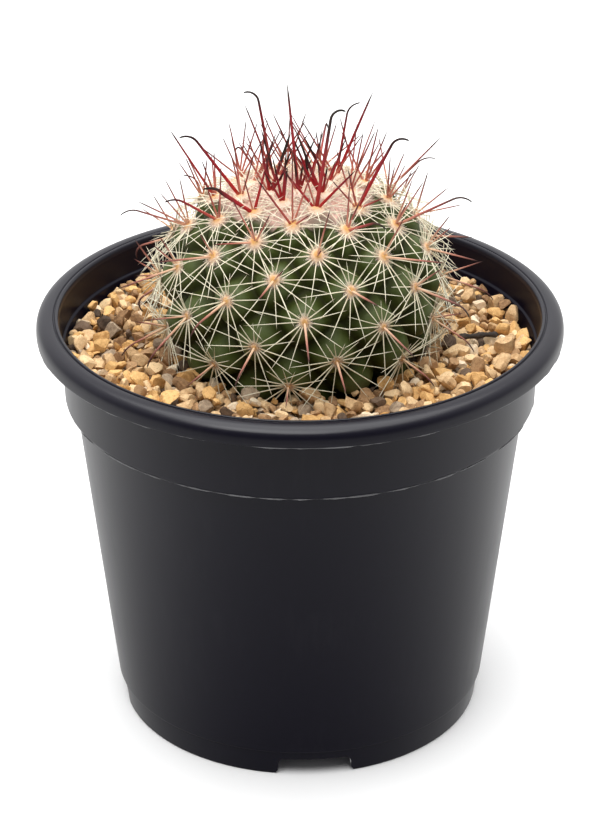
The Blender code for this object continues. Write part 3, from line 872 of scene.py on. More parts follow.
    def build(self) -> bpy.types.Object:
        """Build the pot and cut its notches and drainage holes.

        Returns:
            The pot.
        """
        shapes, cutters = Shapes(), Shapes()
        shapes.add(*turned(self.outline(), self.columns))
        for index in range(self.notches):
            self.add_notch(cutters, index)
        for index in range(self.drains):
            self.add_drain(cutters, index)
        pot = shapes.make("nursery_pot", BLACK_PLASTIC)
        cutter = cutters.make("cutters", BLACK_PLASTIC)
        cut = pot.modifiers.new("cuts", "BOOLEAN")
        cut.operation = "DIFFERENCE"
        cut.object = cutter
        bpy.context.view_layer.update()
        seen = pot.evaluated_get(bpy.context.evaluated_depsgraph_get())
        mesh = bpy.data.meshes.new_from_object(seen)
        pot.modifiers.clear()
        pot.data = mesh
        mesh.shade_smooth()
        mesh.set_sharp_from_angle(angle=self.sharp_angle)
        bpy.data.objects.remove(cutter)
        return pot

    def build_flash(
        self, name: str, radius: float, height: float, rng: np.random.Generator
    ) -> bpy.types.Object:
        """Build the ragged line of moulding flash round an edge, in light grey plastic that paints
        the glint along it.

        Args:
            name: The piece's name.
            radius: The edge's radius in metres.
            height: The edge's height in metres.
            rng: What the raggedness is drawn from.

        Returns:
            The flash.
        """
        rough = rng.uniform(0, 1, self.flash_columns)
        window = self.flash_window
        ragged = sum(np.roll(rough, shift) for shift in range(window)) / window
        reach = np.clip((ragged - self.flash_bare) / self.flash_rise, 0, 1)
        radii = self.flash_least + reach * (self.flash_most - self.flash_least)
        turns = np.arange(self.flash_columns + 1) * math.tau / self.flash_columns
        ring = around(math.pi + turns) * radius + UP * height
        shapes = Shapes()
        shapes.add(*tube(ring, radii, self.flash_sides))
        return shapes.make(name, EDGE_GLINT_PLASTIC)


# ------------------------------------------------------------------ stem

@dataclass
class Stem:
    """The cactus body: a squat globe with a tubercle under every areole."""

    centre_height: float
    radius: float = 27.9 * MM
    half_height: float = 21.7 * MM
    shoulder: float = 2 / 3
    lean_forward: float = math.radians(-3.7)
    lean_side: float = math.radians(-1.9)
    golden_angle: float = math.radians(137.50776)
    first_azimuth: float = math.radians(57.6)
    latitude_step: float = math.radians(0.334)
    latitude_power: float = 1.326
    start: float = 4.0
    areoles: int = 82
    buried_areoles: int = 20
    tubercle: float = 0.27
    columns: int = 320
    rows: int = 170
    lowest: float = math.radians(-52)
    felt_from: float = math.radians(64)
    felt_blend: float = math.radians(7)
    flank: float = 1.8
    crease: float = 0.3
    crease_power: int = 6
    slope_step: float = 0.002
    pole_gap: float = 0.01

    def placement(self) -> np.ndarray:
        """Return the 4 by 4 matrix that leans the globe and lifts it to its place."""
        forward = Matrix.Rotation(self.lean_forward, 4, "X")
        lean = Matrix.Rotation(self.lean_side, 4, "Y") @ forward
        return np.array(Matrix.Translation((0, 0, self.centre_height)) @ lean)

    def globe(self, latitude: np.ndarray, azimuth: np.ndarray) -> np.ndarray:
        """Return points of the globe's outer shape, about its centre."""
        level, rise = np.cos(latitude), np.sin(latitude)
        radius = self.radius * np.abs(level) ** self.shoulder
        height = self.half_height * rise
        return radius[..., None] * around(azimuth) + height[..., None] * UP

    def outward(self, latitude: np.ndarray, azimuth: np.ndarray) -> np.ndarray:
        """Return the outward directions of the globe's outer shape."""
        step = self.slope_step
        climb = self.globe(latitude + step, azimuth) - self.globe(latitude - step, azimuth)
        return unit(np.cross(around(azimuth + math.pi / 2), climb))

    def spiral(self, count: int) -> Tuple[np.ndarray, np.ndarray]:
        """Return the latitudes and azimuths of the first areoles from the crown."""
        index = np.arange(count)
        down = self.latitude_step * (index + self.start) ** self.latitude_power
        return math.pi / 2 - down, self.first_azimuth - self.golden_angle * index

    def sink(self, points: np.ndarray) -> Tuple[np.ndarray, np.ndarray]:
        """Return how far the skin lies under the outer shape, and how deep in a valley it is.

        Args:
            points: Points of the outer shape.

        Returns:
            The depth in metres, and a number from 0 on a tubercle's tip to 1 in a valley.
        """
        tips = self.globe(*self.spiral(self.areoles + self.buried_areoles))
        flat = points.reshape(-1, 3)
        lengths = (flat ** 2).sum(axis=1)[:, None] + (tips ** 2).sum(axis=1)
        squares = np.partition(lengths - 2 * flat @ tips.T, 1, axis=1)[:, :2]
        nearest = np.sqrt(np.maximum(squares, 1e-12))
        valley = nearest[:, 0] / nearest[:, 1]
        spread = nearest.sum(axis=1)
        shape = valley ** self.flank - self.crease * valley ** self.crease_power
        shape = shape / (1 - self.crease)
        depth = self.tubercle * spread * shape
        return depth.reshape(points.shape[:-1]), valley.reshape(points.shape[:-1])

    def build(self) -> bpy.types.Object:
        """Build the stem's skin.

        Returns:
            The stem.
        """
        rows = np.linspace(math.pi / 2 - self.pole_gap, self.lowest, self.rows)
        columns = np.arange(self.columns) * math.tau / self.columns
        latitude, azimuth = np.meshgrid(rows, columns, indexing="ij")
        points = self.globe(latitude, azimuth)
        depth, valley = self.sink(points)
        skin = points - self.outward(latitude, azimuth) * depth[..., None]
        poles = np.array([(0, 0, self.half_height), (0, 0, skin[-1, :, 2].mean() - 3 * MM)])
        flat = np.concatenate([skin.reshape(-1, 3), poles])
        matrix = self.placement()
        placed = flat @ matrix[:3, :3].T + matrix[:3, 3]
        shapes = Shapes()
        felted = np.clip((latitude - self.felt_from) / self.felt_blend, 0, 1)
        tones = {
            "valley": np.append(valley.ravel(), (0.4, 1.0)),
            "felted": np.append(felted.ravel(), (1.0, 0.0)),
        }
        shapes.add(placed, self.faces(), **tones)
        return shapes.make("stem", GREEN_SKIN)

    def faces(self) -> Faces:
        """Return the faces between the skin's rows and its two poles."""
        width, height = self.columns, self.rows
        crown, lowest = width * height, width * (height - 1)
        faces = grid_faces(height, width)
        for column in range(width):
            after = (column + 1) % width
            faces.append((crown, column, after))
            faces.append((crown + 1, lowest + after, lowest + column))
        return faces


# ------------------------------------------------------------------ areoles and spines

@dataclass
class Areole:
    """A woolly spot on a tubercle's tip: its place, its directions and its age from 0 to 1."""

    index: int
    age: float
    spacing: float
    centre: np.ndarray
    normal: np.ndarray
    side: np.ndarray
    rise: np.ndarray

    @property
    def youth(self) -> float:
        """Return how young the areole is, from 1 in the crown to 0 low on the stem."""
        return float(faded(self.age, 2.2, 4.0))

    @property
    def freshness(self) -> float:
        """Return how new the wool is, from 1 in the crown to 0 a little way down."""
        return float(faded(self.age, 1.2, 5.0))

    def direction(self, turn: float, lift: float) -> np.ndarray:
        """Return a direction: a turn from the areole's uphill side, and a lift off the skin."""
        level = self.rise * math.cos(turn) + self.side * math.sin(turn)
        return level * math.cos(lift) + self.normal * math.sin(lift)


def find_areoles(stem: Stem) -> List[Areole]:
    """Return the stem's areoles in order from the crown."""
    latitude, azimuth = stem.spiral(stem.areoles)
    matrix = stem.placement()
    turn = matrix[:3, :3]
    points = stem.globe(latitude, azimuth)
    away = np.linalg.norm(points[:, None] - points[None], axis=2)
    spacing = np.sort(away, axis=1)[:, 1:4].mean(axis=1)
    normals = stem.outward(latitude, azimuth) @ turn.T
    sides = around(azimuth + math.pi / 2) @ turn.T
    centres = points @ turn.T + matrix[:3, 3]
    found = []
    for index, (normal, side) in enumerate(zip(normals, sides)):
        age, rise = index / (stem.areoles - 1), np.cross(normal, side)
        found.append(Areole(index, age, spacing[index], centres[index], normal, side, rise))
    return found


STRAIGHT_STEPS = (0.0, 0.15, 0.32, 0.50, 0.68, 0.86, 1.0)
SHAFT_STEPS = 6
HOOK_STEPS = 9


@dataclass
class Spine:
    """One spine: a tapering shaft with a gentle bow, and a hook at its end if it has one."""

    foot: np.ndarray
    direction: np.ndarray
    bend_to: np.ndarray
    length: float
    thickness: float
    bow: float = 0.0
    hook: float = 0.0
    hook_length: float = 4.0 * MM
    taper: float = 0.60
    tip: float = 0.12
    dark_from: float = RIPE
    palest: float = 0.10
    reddest: float = 0.58

    @property
    def hook_start(self) -> float:
        """Return the share of the length at which the hook begins."""
        return 1 - self.hook_length / self.length

    def steps(self) -> np.ndarray:
        """Return the shares of the length at which the path has points."""
        if self.hook == 0:
            return np.array(STRAIGHT_STEPS)
        shaft = np.linspace(0, self.hook_start, SHAFT_STEPS)[:-1]
        return np.concatenate([shaft, np.linspace(self.hook_start, 1, HOOK_STEPS)])

    def path(self) -> Tuple[np.ndarray, np.ndarray]:
        """Return the points of the spine's centreline and their shares of its length."""
        shares = self.steps()
        bend_to = unit(self.bend_to - self.direction * self.direction.dot(self.bend_to))
        middles = (shares[1:] + shares[:-1]) / 2
        angles = self.bow * middles
        if self.hook:
            start = self.hook_start
            into = np.clip((middles - start) / (1 - start), 0, 1)
            angles = angles + self.hook * into
        runs = np.cos(angles)[:, None] * self.direction + np.sin(angles)[:, None] * bend_to
        runs *= (np.diff(shares) * self.length)[:, None]
        return self.foot + np.concatenate([np.zeros((1, 3)), np.cumsum(runs, axis=0)]), shares

    @property
    def redness(self) -> float:
        """Return how red a young spine is: a thin one is paler than a thick one."""
        share = (self.thickness / MM - self.palest) / (self.reddest - self.palest)
        return float(np.clip(share, 0.0, 1.0))

    def add_to(self, shapes: Shapes, sides: int, tone: float, youth: float) -> None:
        """Add the spine's mesh to a piece."""
        path, shares = self.path()
        slim = self.tip + (1 - self.tip) * (1 - shares[:-1]) ** self.taper
        points, faces = tube(path, self.thickness / 2 * slim, sides)
        ripe = np.interp(shares, (0.0, self.dark_from, 1.0), (0.0, RIPE, 1.0))
        along = np.append(np.repeat(ripe[:-1], sides), 1.0)
        shapes.add(points, faces, along=along, tone=tone, youth=youth)


class Hairs:
    """Fine hairs of wool, made with one ring of three corners at the foot and one halfway."""

    sides = 3
    halfway = 0.55
    halfway_radius = 0.36
    sag = 0.16
    skew = 0.37

    @classmethod
    def add(
        cls,
        shapes: Shapes,
        feet: np.ndarray,
        runs: np.ndarray,
        width: float,
        **values: np.ndarray,
    ) -> None:
        """Add many hairs to a piece.

        Args:
            shapes: The piece.
            feet: Where each hair starts, one row each.
            runs: How far and which way each hair reaches.
            width: How thick a hair is at its foot.
            **values: Named values, one number for each hair.
        """
        count = len(feet)
        along = unit(runs)
        across = unit(np.cross(along, unit(along[:, ::-1] + cls.skew)))
        other = np.cross(along, across)
        turns = np.arange(cls.sides) * math.tau / cls.sides
        ring = np.cos(turns)[:, None, None] * across + np.sin(turns)[:, None, None] * other
        sag = other * cls.sag * np.linalg.norm(runs, axis=1)[:, None]
        middle = feet + runs * cls.halfway + sag + ring * width * cls.halfway_radius
        points = np.concatenate([feet + ring * width / 2, middle, (feet + runs)[None]])
        corners, pattern = 2 * cls.sides + 1, tube_faces(2, cls.sides)
        faces = [
            tuple(corner + hair * corners for corner in face)
            for hair in range(count)
            for face in pattern
        ]
        spread = {name: np.repeat(value, corners) for name, value in values.items()}
        shares = np.tile([0.0] * cls.sides + [cls.halfway] * cls.sides + [1.0], count)
        shapes.add(points.transpose(1, 0, 2).reshape(-1, 3), faces, along=shares, **spread)


@dataclass
class Felt:
    """The woolly pad of an areole, with its hairs."""

    areole: Areole
    crown_radius: float = 3.7 * MM
    shrink: float = 2.6 * MM
    least_radius: float = 1.3 * MM
    hair_width: float = 0.105 * MM
    pad_share: Tuple[float, float, float] = (0.55, 0.60, 0.34)
    pad_unevenness: float = 0.06
    hair_lift: float = 0.12 * MM
    untidiness: float = 0.30
    reaches: Span = (0.34, 0.72)
    young_until: float = 0.5
    young_hairs: int = 250
    old_hairs: int = 160

    @property
    def radius(self) -> float:
        """Return how far the hairs reach, which is less on an older areole."""
        return max(self.least_radius, self.crown_radius - self.shrink * self.areole.age)

    def add_pad(self, shapes: Shapes, rng: np.random.Generator) -> None:
        """Add the low cushion that the hairs grow from."""
        ball, faces = BALL
        size = self.radius * np.array(self.pad_share)
        rough = 1 + rng.normal(0, self.pad_unevenness, len(ball))[:, None]
        areole = self.areole
        axes = np.stack([areole.side, areole.rise, areole.normal])
        points = areole.centre + ball * size * rough @ axes
        heart = faded(np.hypot(ball[:, 0], ball[:, 1]), 1.5, 1.3)
        shapes.add(points, faces, along=0.1, heart=heart, tone=0.1, youth=areole.freshness)

    def add_hairs(self, shapes: Shapes, rng: np.random.Generator) -> None:
        """Add the hairs, which lean out more towards the rim of the pad."""
        areole, radius = self.areole, self.radius
        count = self.young_hairs if areole.age < self.young_until else self.old_hairs
        out = np.sqrt(rng.uniform(0, 1, count))
        turns = rng.uniform(0, math.tau, count)
        level = np.cos(turns)[:, None] * areole.rise + np.sin(turns)[:, None] * areole.side
        feet = areole.centre + level * (out * radius * self.pad_share[0])[:, None]
        loose = rng.normal(0, self.untidiness, (count, 3))
        lean = level * (0.35 + out * 1.25)[:, None]
        lean = lean + areole.normal * (1.0 - 0.62 * out)[:, None] + loose
        reach = radius * rng.uniform(*self.reaches, count) * (0.62 + 0.38 * out)
        Hairs.add(
            shapes,
            feet + areole.normal * self.hair_lift,
            unit(lean) * reach[:, None],
            self.hair_width,
            heart=faded(out, 1.35, 1.75),
            tone=rng.uniform(0, 1, count),
            youth=np.full(count, areole.freshness),
        )


BALL = cube_sphere(4)


@dataclass(frozen=True)
class Growth:
    """The ranges that a central spine is drawn from, and what the areole's age takes away.

    Turns are in radians, lifts, sinking and hooks in degrees, and lengths and thickness in
    millimetres. A share of the spines is straight.
    """

    turns: Span
    lifts: Span
    lengths: Span
    thickness: float
    sinking: float = 0.0
    stretch: float = 1.0
    shrinking: float = 0.0
    straight_share: float = 1.0
    hooks: Span = (50, 115)
    dark_from: float = 0.0


class Posture(Enum):
    """How a central spine stands on its areole."""

    MAIN = Growth((math.pi - 0.5, math.pi + 0.5), (58, 78), (12, 16.5), 0.54, 18, 1.1, 0.5, 0.35)
    UPPER = Growth((-1.5, 1.5), (42, 68), (10.5, 14.5), 0.41, 0, 1.1, 0.7)
    INNER = Growth((0, math.tau), (62, 84), (8, 11), 0.66, dark_from=0.70)


# The central spines of the areoles up to each number. Later ones have a main spine only.
POSTURES_UP_TO = (
    (9, (Posture.INNER, Posture.UPPER, Posture.UPPER)),
    (22, (Posture.UPPER,) * 4),
    (36, (Posture.MAIN,) + (Posture.UPPER,) * 3),
    (50, (Posture.MAIN, Posture.UPPER)),
)


@dataclass(frozen=True)
class Central:
    """A central spine by the way it points: headings from the front towards the right."""

    heading: float
    climb: float
    length: float
    hook: float = 0.0
    thickness: float = 0.0
    dark_from: float = 0.0

    def direction(self) -> np.ndarray:
        """Return the direction that the spine points in."""
        climb = math.radians(self.climb)
        return around(math.radians(self.heading)) * math.cos(climb) + UP * math.sin(climb)


# Central spines placed one by one, in degrees and millimetres, under the number of their areole.
# Each row fills the fields of Central in order.
SHOWN_CENTRALS: Dict[int, Rows] = {
    0: ((-90, 83, 8.3, 0, 0.7, 0.5), (120, 74, 9), (-60, 64, 12)),
    1: ((60, 70, 10, 0, 0.68, 0.55), (-90, 75, 9, 0, 0.62, 0.55), (-80, 58, 12.5)),
    2: ((-90, 70, 11, 0, 0.68, 0.55), (90, 76, 11, 0, 0.62, 0.6), (-90, 60, 13)),
    3: (
        (-157, 76, 22.2, 0, 0.72, 0.92), (-90, 84, 9, 0, 0.62, 0.5), (90, 72, 8, 0, 0.62, 0.6),
        (-90, 62, 12), (20, 72, 7.5, 0, 0.66, 0.8),
    ),
    4: ((80, 72, 11, 0, 0.64, 0.6), (-80, 76, 12, 0, 0.62, 0.65), (90, 56, 12.5)),
    5: ((-80, 66, 12, 0, 0.72, 0.55), (90, 72, 11, 0, 0.62, 0.7), (90, 58, 13)),
    6: (
        (90, 73.7, 13.7, 0, 0.72, 0.55), (60, 60, 8, 0, 0.66, 0.55), (-70, 80, 12, 0, 0.62),
        (-100, 60, 13), (-20, 78, 9, 0, 0.66, 0.8),
    ),
    7: ((-110, 66, 14), (60, 68, 10, 0, 0.66, 0.55)),
    8: (
        (-90, 69.3, 15.3, 0, 0.85, 0.5), (-95, 60, 10, 0, 0.66), (60, 70, 9),
        (-30, 80, 8.5, 0, 0.64, 0.78), (30, 74, 7.5, 0, 0.62, 0.8),
    ),
    10: ((90, 82, 17.5, 80, 0.55), (90, 69.5, 19.8, 0, 0.68, 0.92), (-90, 61, 14.5)),
    11: (
        (-90, 78.5, 10.6, 0, 0.68, 0.6), (160, 80, 11, 0, 0.72, 0.7),
        (-60, 62, 9, 0, 0.6, 0.75), (30, 78, 8.5, 0, 0.62, 0.8),
    ),
    12: ((-97, 80.5, 19.5, 110, 0.68), (-95, 70, 16, 0, 0.5), (80, 60, 14)),
    13: ((-85, 74, 10), (70, 74, 9), (100, 60, 10)),
    14: ((-90, 54, 18.5, 90, 0.72), (-60, 78, 10), (40, 70, 12)),
    15: ((-95, 62, 14), (60, 74, 12)),
    16: ((110, 81, 22.5, 125, 0.8), (70, 50, 12.5, 0, 0.58), (-95, 52, 10.5, 0, 0.58)),
    18: ((90, 58, 9, 0, 0.45), (90, 79, 13), (110, 66, 12)),
    19: (
        (-65, 40, 13, 50, 0.8), (-62, 38, 10, 0, 0.66), (-70, 76, 8),
        (105, 76, 17, 0, 0.62, 0.7),
    ),
    21: ((85, 65, 19, 100, 0.76), (70, 30, 6.5, 0, 0.45), (-40, 72, 10)),
    22: ((-92, 58, 17.5, 0, 0.55), (-80, 72, 9)),
    23: ((134, 62, 12), (80, 68, 11), (60, 80, 10)),
    24: ((0, 88, 16, 0, 0.42, 0.95), (-58, 55, 14.5, 0, 0.5), (60, 40, 5)),
    25: ((-140, 70, 12), (-60, 66, 11), (-90, 78, 9)),
    26: ((85, 66, 9), (80, 52, 9)),
    27: ((-75, 35, 12.5, 60, 0.58), (-80, 72, 9.5), (0, 84, 5)),
    29: ((48, 28, 11, 60, 0.58), (85, 68, 6.5, 0, 0.46)),
    30: ((-95, 74, 7, 90, 0.42), (-100, 58, 9), (60, 82, 9)),
    31: ((95, 47, 15.5, 0, 0.5), (95, 45, 12, 70, 0.42), (85, 70, 9)),
    32: ((-62, 10, 9.5), (-25, 66, 7)),
    34: ((80, 30, 17, 75, 0.58), (80, 71, 11), (40, 60, 7)),
    35: (
        (-85, 30, 12, 0, 0.45), (-85, 20, 14.5, 70, 0.48), (-85, 66, 11.5), (-80, 81, 11),
        (-85, 52, 9.5),
    ),
    37: ((10, 36, 5),),
    38: ((-120, 60, 8),),
    39: ((80, 75, 10), (88, 42, 9), (95, 10, 10)),
    40: ((-65, 5, 12.5, 0, 0.5), (-50, 60, 7)),
    42: ((64, 6, 13.5, 0, 0.5), (62, 64, 10)),
    43: ((-96, 35, 8), (-90, 62, 9)),
    44: ((110, 64, 8),),
    45: ((-22, -6, 8, 0, 0.52),),
    47: ((80, 58, 9), (86, 42, 7), (75, -8, 11, 0, 0.48)),
    48: ((-80, -16, 13, 0, 0.48), (-84, 45, 7), (-80, 62, 8)),
    50: ((36, 0, 9, 0, 0.52),),
    53: ((-46, -18, 11, 45, 0.52),),
    55: ((65, -12, 13, 60, 0.5), (60, 42, 8)),
    56: ((-85, 35, 6.5), (-80, 58, 9.5), (-90, -2, 5)),
    58: ((6, -30, 10, 0, 0.52),),
    60: ((82, -18, 12, 45), (88, 20, 9)),
    61: ((-56, -36, 13, 35, 0.52), (-76, 0, 9)),
    63: ((40, -18, 10, 0, 0.5),),
    66: ((-25, -24, 10, 20, 0.5),),
    68: ((70, -28, 11, 40), (66, 20, 7)),
    69: ((-72, -22, 11, 40), (-70, 18, 7)),
    71: ((12, -20, 9, 0, 0.48),),
    74: ((-45, -16, 8),),
    76: ((50, -18, 9, 30),),
    79: ((-5, -18, 6),),
}


@dataclass
class Habit:
    """How spines grow on an areole of any age."""

    rng: np.random.Generator
    radial_width: float = 0.28 * MM
    longest_radial: float = 11.0 * MM
    shortest_radial: float = 4.8 * MM
    crown_end: int = 11
    reach: float = 1.24
    counts: Tuple[int, int] = (15, 18)
    crown_fewer: int = 3
    uneven_turn: Span = (-0.26, 0.26)
    uneven_length: Span = (0.84, 1.08)
    uneven_width: Span = (0.85, 1.12)
    uphill_shorter: float = 0.45
    lifts: Span = (math.radians(5), math.radians(17))
    crown_lift: float = math.radians(30)
    uphill_lift: float = math.radians(7)
    radial_bows: Span = (math.radians(-3), math.radians(5))
    central_bows: Span = (math.radians(-1.5), math.radians(2.5))
    central_widths: Span = (0.38, 0.46)
    radial_foot: float = 0.35 * MM
    central_foot: float = 0.1 * MM
    straight_dark: float = 0.90
    foot_lift: float = 0.35
    hooked_slimming: Span = (0.35, 0.30)
    dark_slimming: Span = (0.62, 0.08)
    plain_slimming: Span = (0.38, 0.14)

    def radials(self, areole: Areole) -> List[Spine]:
        """Return the ring of cream spines, which lie almost on the skin."""
        rng = self.rng
        crown = max(0.0, 1 - areole.index / self.crown_end)
        count = int(rng.integers(*self.counts)) - int(self.crown_fewer * crown)
        spacing = areole.spacing * self.reach
        spacing = np.clip(spacing, self.shortest_radial, self.longest_radial)
        start = rng.uniform(0, math.tau)
        spines = []
        for number in range(count):
            turn = start + math.tau * (number + rng.uniform(*self.uneven_turn)) / count
            uphill = max(0.0, math.cos(turn))
            length = spacing * (1 - self.uphill_shorter * uphill ** 1.5)
            length = length * rng.uniform(*self.uneven_length)
            lift = rng.uniform(*self.lifts)
            lift += self.crown_lift * crown + self.uphill_lift * uphill
            direction = areole.direction(turn, lift)
            foot = areole.centre + areole.direction(turn, self.foot_lift) * self.radial_foot
            width = self.radial_width * rng.uniform(*self.uneven_width)
            bow = rng.uniform(*self.radial_bows)
            spines.append(Spine(foot, direction, -areole.normal, length, width, bow))
        return spines

    def centrals(self, areole: Areole) -> List[Spine]:
        """Return the spines that stand out from the middle of the areole."""
        centrals = [Central(*row) for row in SHOWN_CENTRALS.get(areole.index, ())]
        for posture in self.postures(areole)[len(centrals):]:
            centrals.append(self.grown(areole, posture))
        return [self.stand(areole, central) for central in centrals]

    def postures(self, areole: Areole) -> Tuple[Posture, ...]:
        """Return which central spines an areole has at its age."""
        for last, postures in POSTURES_UP_TO:
            if areole.index < last:
                return postures
        return (Posture.MAIN,)

    def grown(self, areole: Areole, posture: Posture) -> Central:
        """Return a central spine with a direction and a length that suit its posture."""
        rng, growth, hook = self.rng, posture.value, 0.0
        turn = rng.uniform(*growth.turns)
        lift = rng.uniform(*growth.lifts) - growth.sinking * areole.age
        length = rng.uniform(*growth.lengths) * (growth.stretch - growth.shrinking * areole.age)
        if growth.straight_share < 1 and rng.uniform() >= growth.straight_share:
            hook = rng.uniform(*growth.hooks)
        direction = areole.direction(turn, math.radians(lift))
        heading = math.degrees(math.atan2(direction[0], -direction[1]))
        climb = math.degrees(math.asin(direction[2]))
        return Central(heading, climb, length, hook, growth.thickness, growth.dark_from)

    def slimming(self, central: Central) -> Span:
        """Return a central spine's taper, and the width of its tip against its foot."""
        if central.hook:
            return self.hooked_slimming
        if central.dark_from and central.dark_from < RIPE:
            return self.dark_slimming
        return self.plain_slimming

    def stand(self, areole: Areole, central: Central) -> Spine:
        """Return a central spine in its place on the areole."""
        rng = self.rng
        width = (central.thickness or rng.uniform(*self.central_widths)) * MM
        bow = rng.uniform(*self.central_bows)
        taper, tip = self.slimming(central)
        return Spine(
            areole.centre + areole.normal * self.central_foot,
            central.direction(),
            -UP,
            central.length * MM,
            width,
            bow,
            math.radians(central.hook),
            taper=taper,
            tip=tip,
            dark_from=central.dark_from or (RIPE if central.hook else self.straight_dark),
        )


@dataclass
class Tier:
    """A band of areoles: the solids that it stands for and the slot of its spines."""

    name: str
    areoles: List[Areole]
    nodes: List[str]
    slot: str
    rng: np.random.Generator
    radial_sides: int = 5
    central_sides: int = 8

    def build(self, habit: Habit) -> None:
        """Build the tier's radial spines, central spines and wool."""
        radials, centrals, wool = Shapes(), Shapes(), Shapes()
        for areole in self.areoles:
            for spine in habit.radials(areole):
                spine.add_to(radials, self.radial_sides, self.rng.uniform(), areole.youth)
            for spine in habit.centrals(areole):
                youth = areole.youth * spine.redness
                spine.add_to(centrals, self.central_sides, self.rng.uniform(), youth)
            felt = Felt(areole)
            felt.add_pad(wool, self.rng)
            felt.add_hairs(wool, self.rng)
        settle(radials.make(f"{self.name}_radial_spines", RADIAL_THORN), self.nodes)
        settle(centrals.make(f"{self.name}_central_spines", CENTRAL_THORN))
        settle(wool.make(f"{self.name}_areole_wool", AREOLE_WOOL))


@dataclass
class CrownWool:
    """The loose wool that fills the crown between the youngest areoles."""

    stem: Stem
    rng: np.random.Generator
    hairs: int = 3000
    lowest: float = math.radians(67)
    pole_gap: float = 0.01
    depth: float = 0.3 * MM
    untidiness: float = 0.55
    shortest: float = 1.2 * MM
    longest: float = 2.8 * MM
    hair_width: float = 0.12 * MM

    def build(self) -> bpy.types.Object:
        """Build the crown's wool.

        Returns:
            The wool.
        """
        rng, count = self.rng, self.hairs
        share = rng.uniform(0, 1, count) ** 0.8
        latitude = math.pi / 2 - self.pole_gap - share * (math.pi / 2 - self.lowest)
        azimuth = rng.uniform(0, math.tau, count)
        matrix = self.stem.placement()
        turn, shift = matrix[:3, :3].T, matrix[:3, 3]
        normals = self.stem.outward(latitude, azimuth) @ turn
        feet = self.stem.globe(latitude, azimuth) @ turn + shift - normals * self.depth
        heading = unit(normals + rng.normal(0, self.untidiness, (count, 3)))
        reach = rng.uniform(self.shortest, self.longest, count) * (1 - 0.45 * share)
        shapes = Shapes()
        Hairs.add(
            shapes,
            feet,
            heading * reach[:, None],
            self.hair_width,
            heart=rng.uniform(0, 0.15, count),
            tone=rng.uniform(0, 0.8, count),
            youth=np.ones(count),
        )
        return shapes.make("crown_wool", AREOLE_WOOL)


# ------------------------------------------------------------------ grit

@dataclass(frozen=True)
class LooseStone:
    """One stone of the grit where it came to rest."""

    kind: Grit
    points: np.ndarray
    place: np.ndarray
    half: np.ndarray
    tone: float


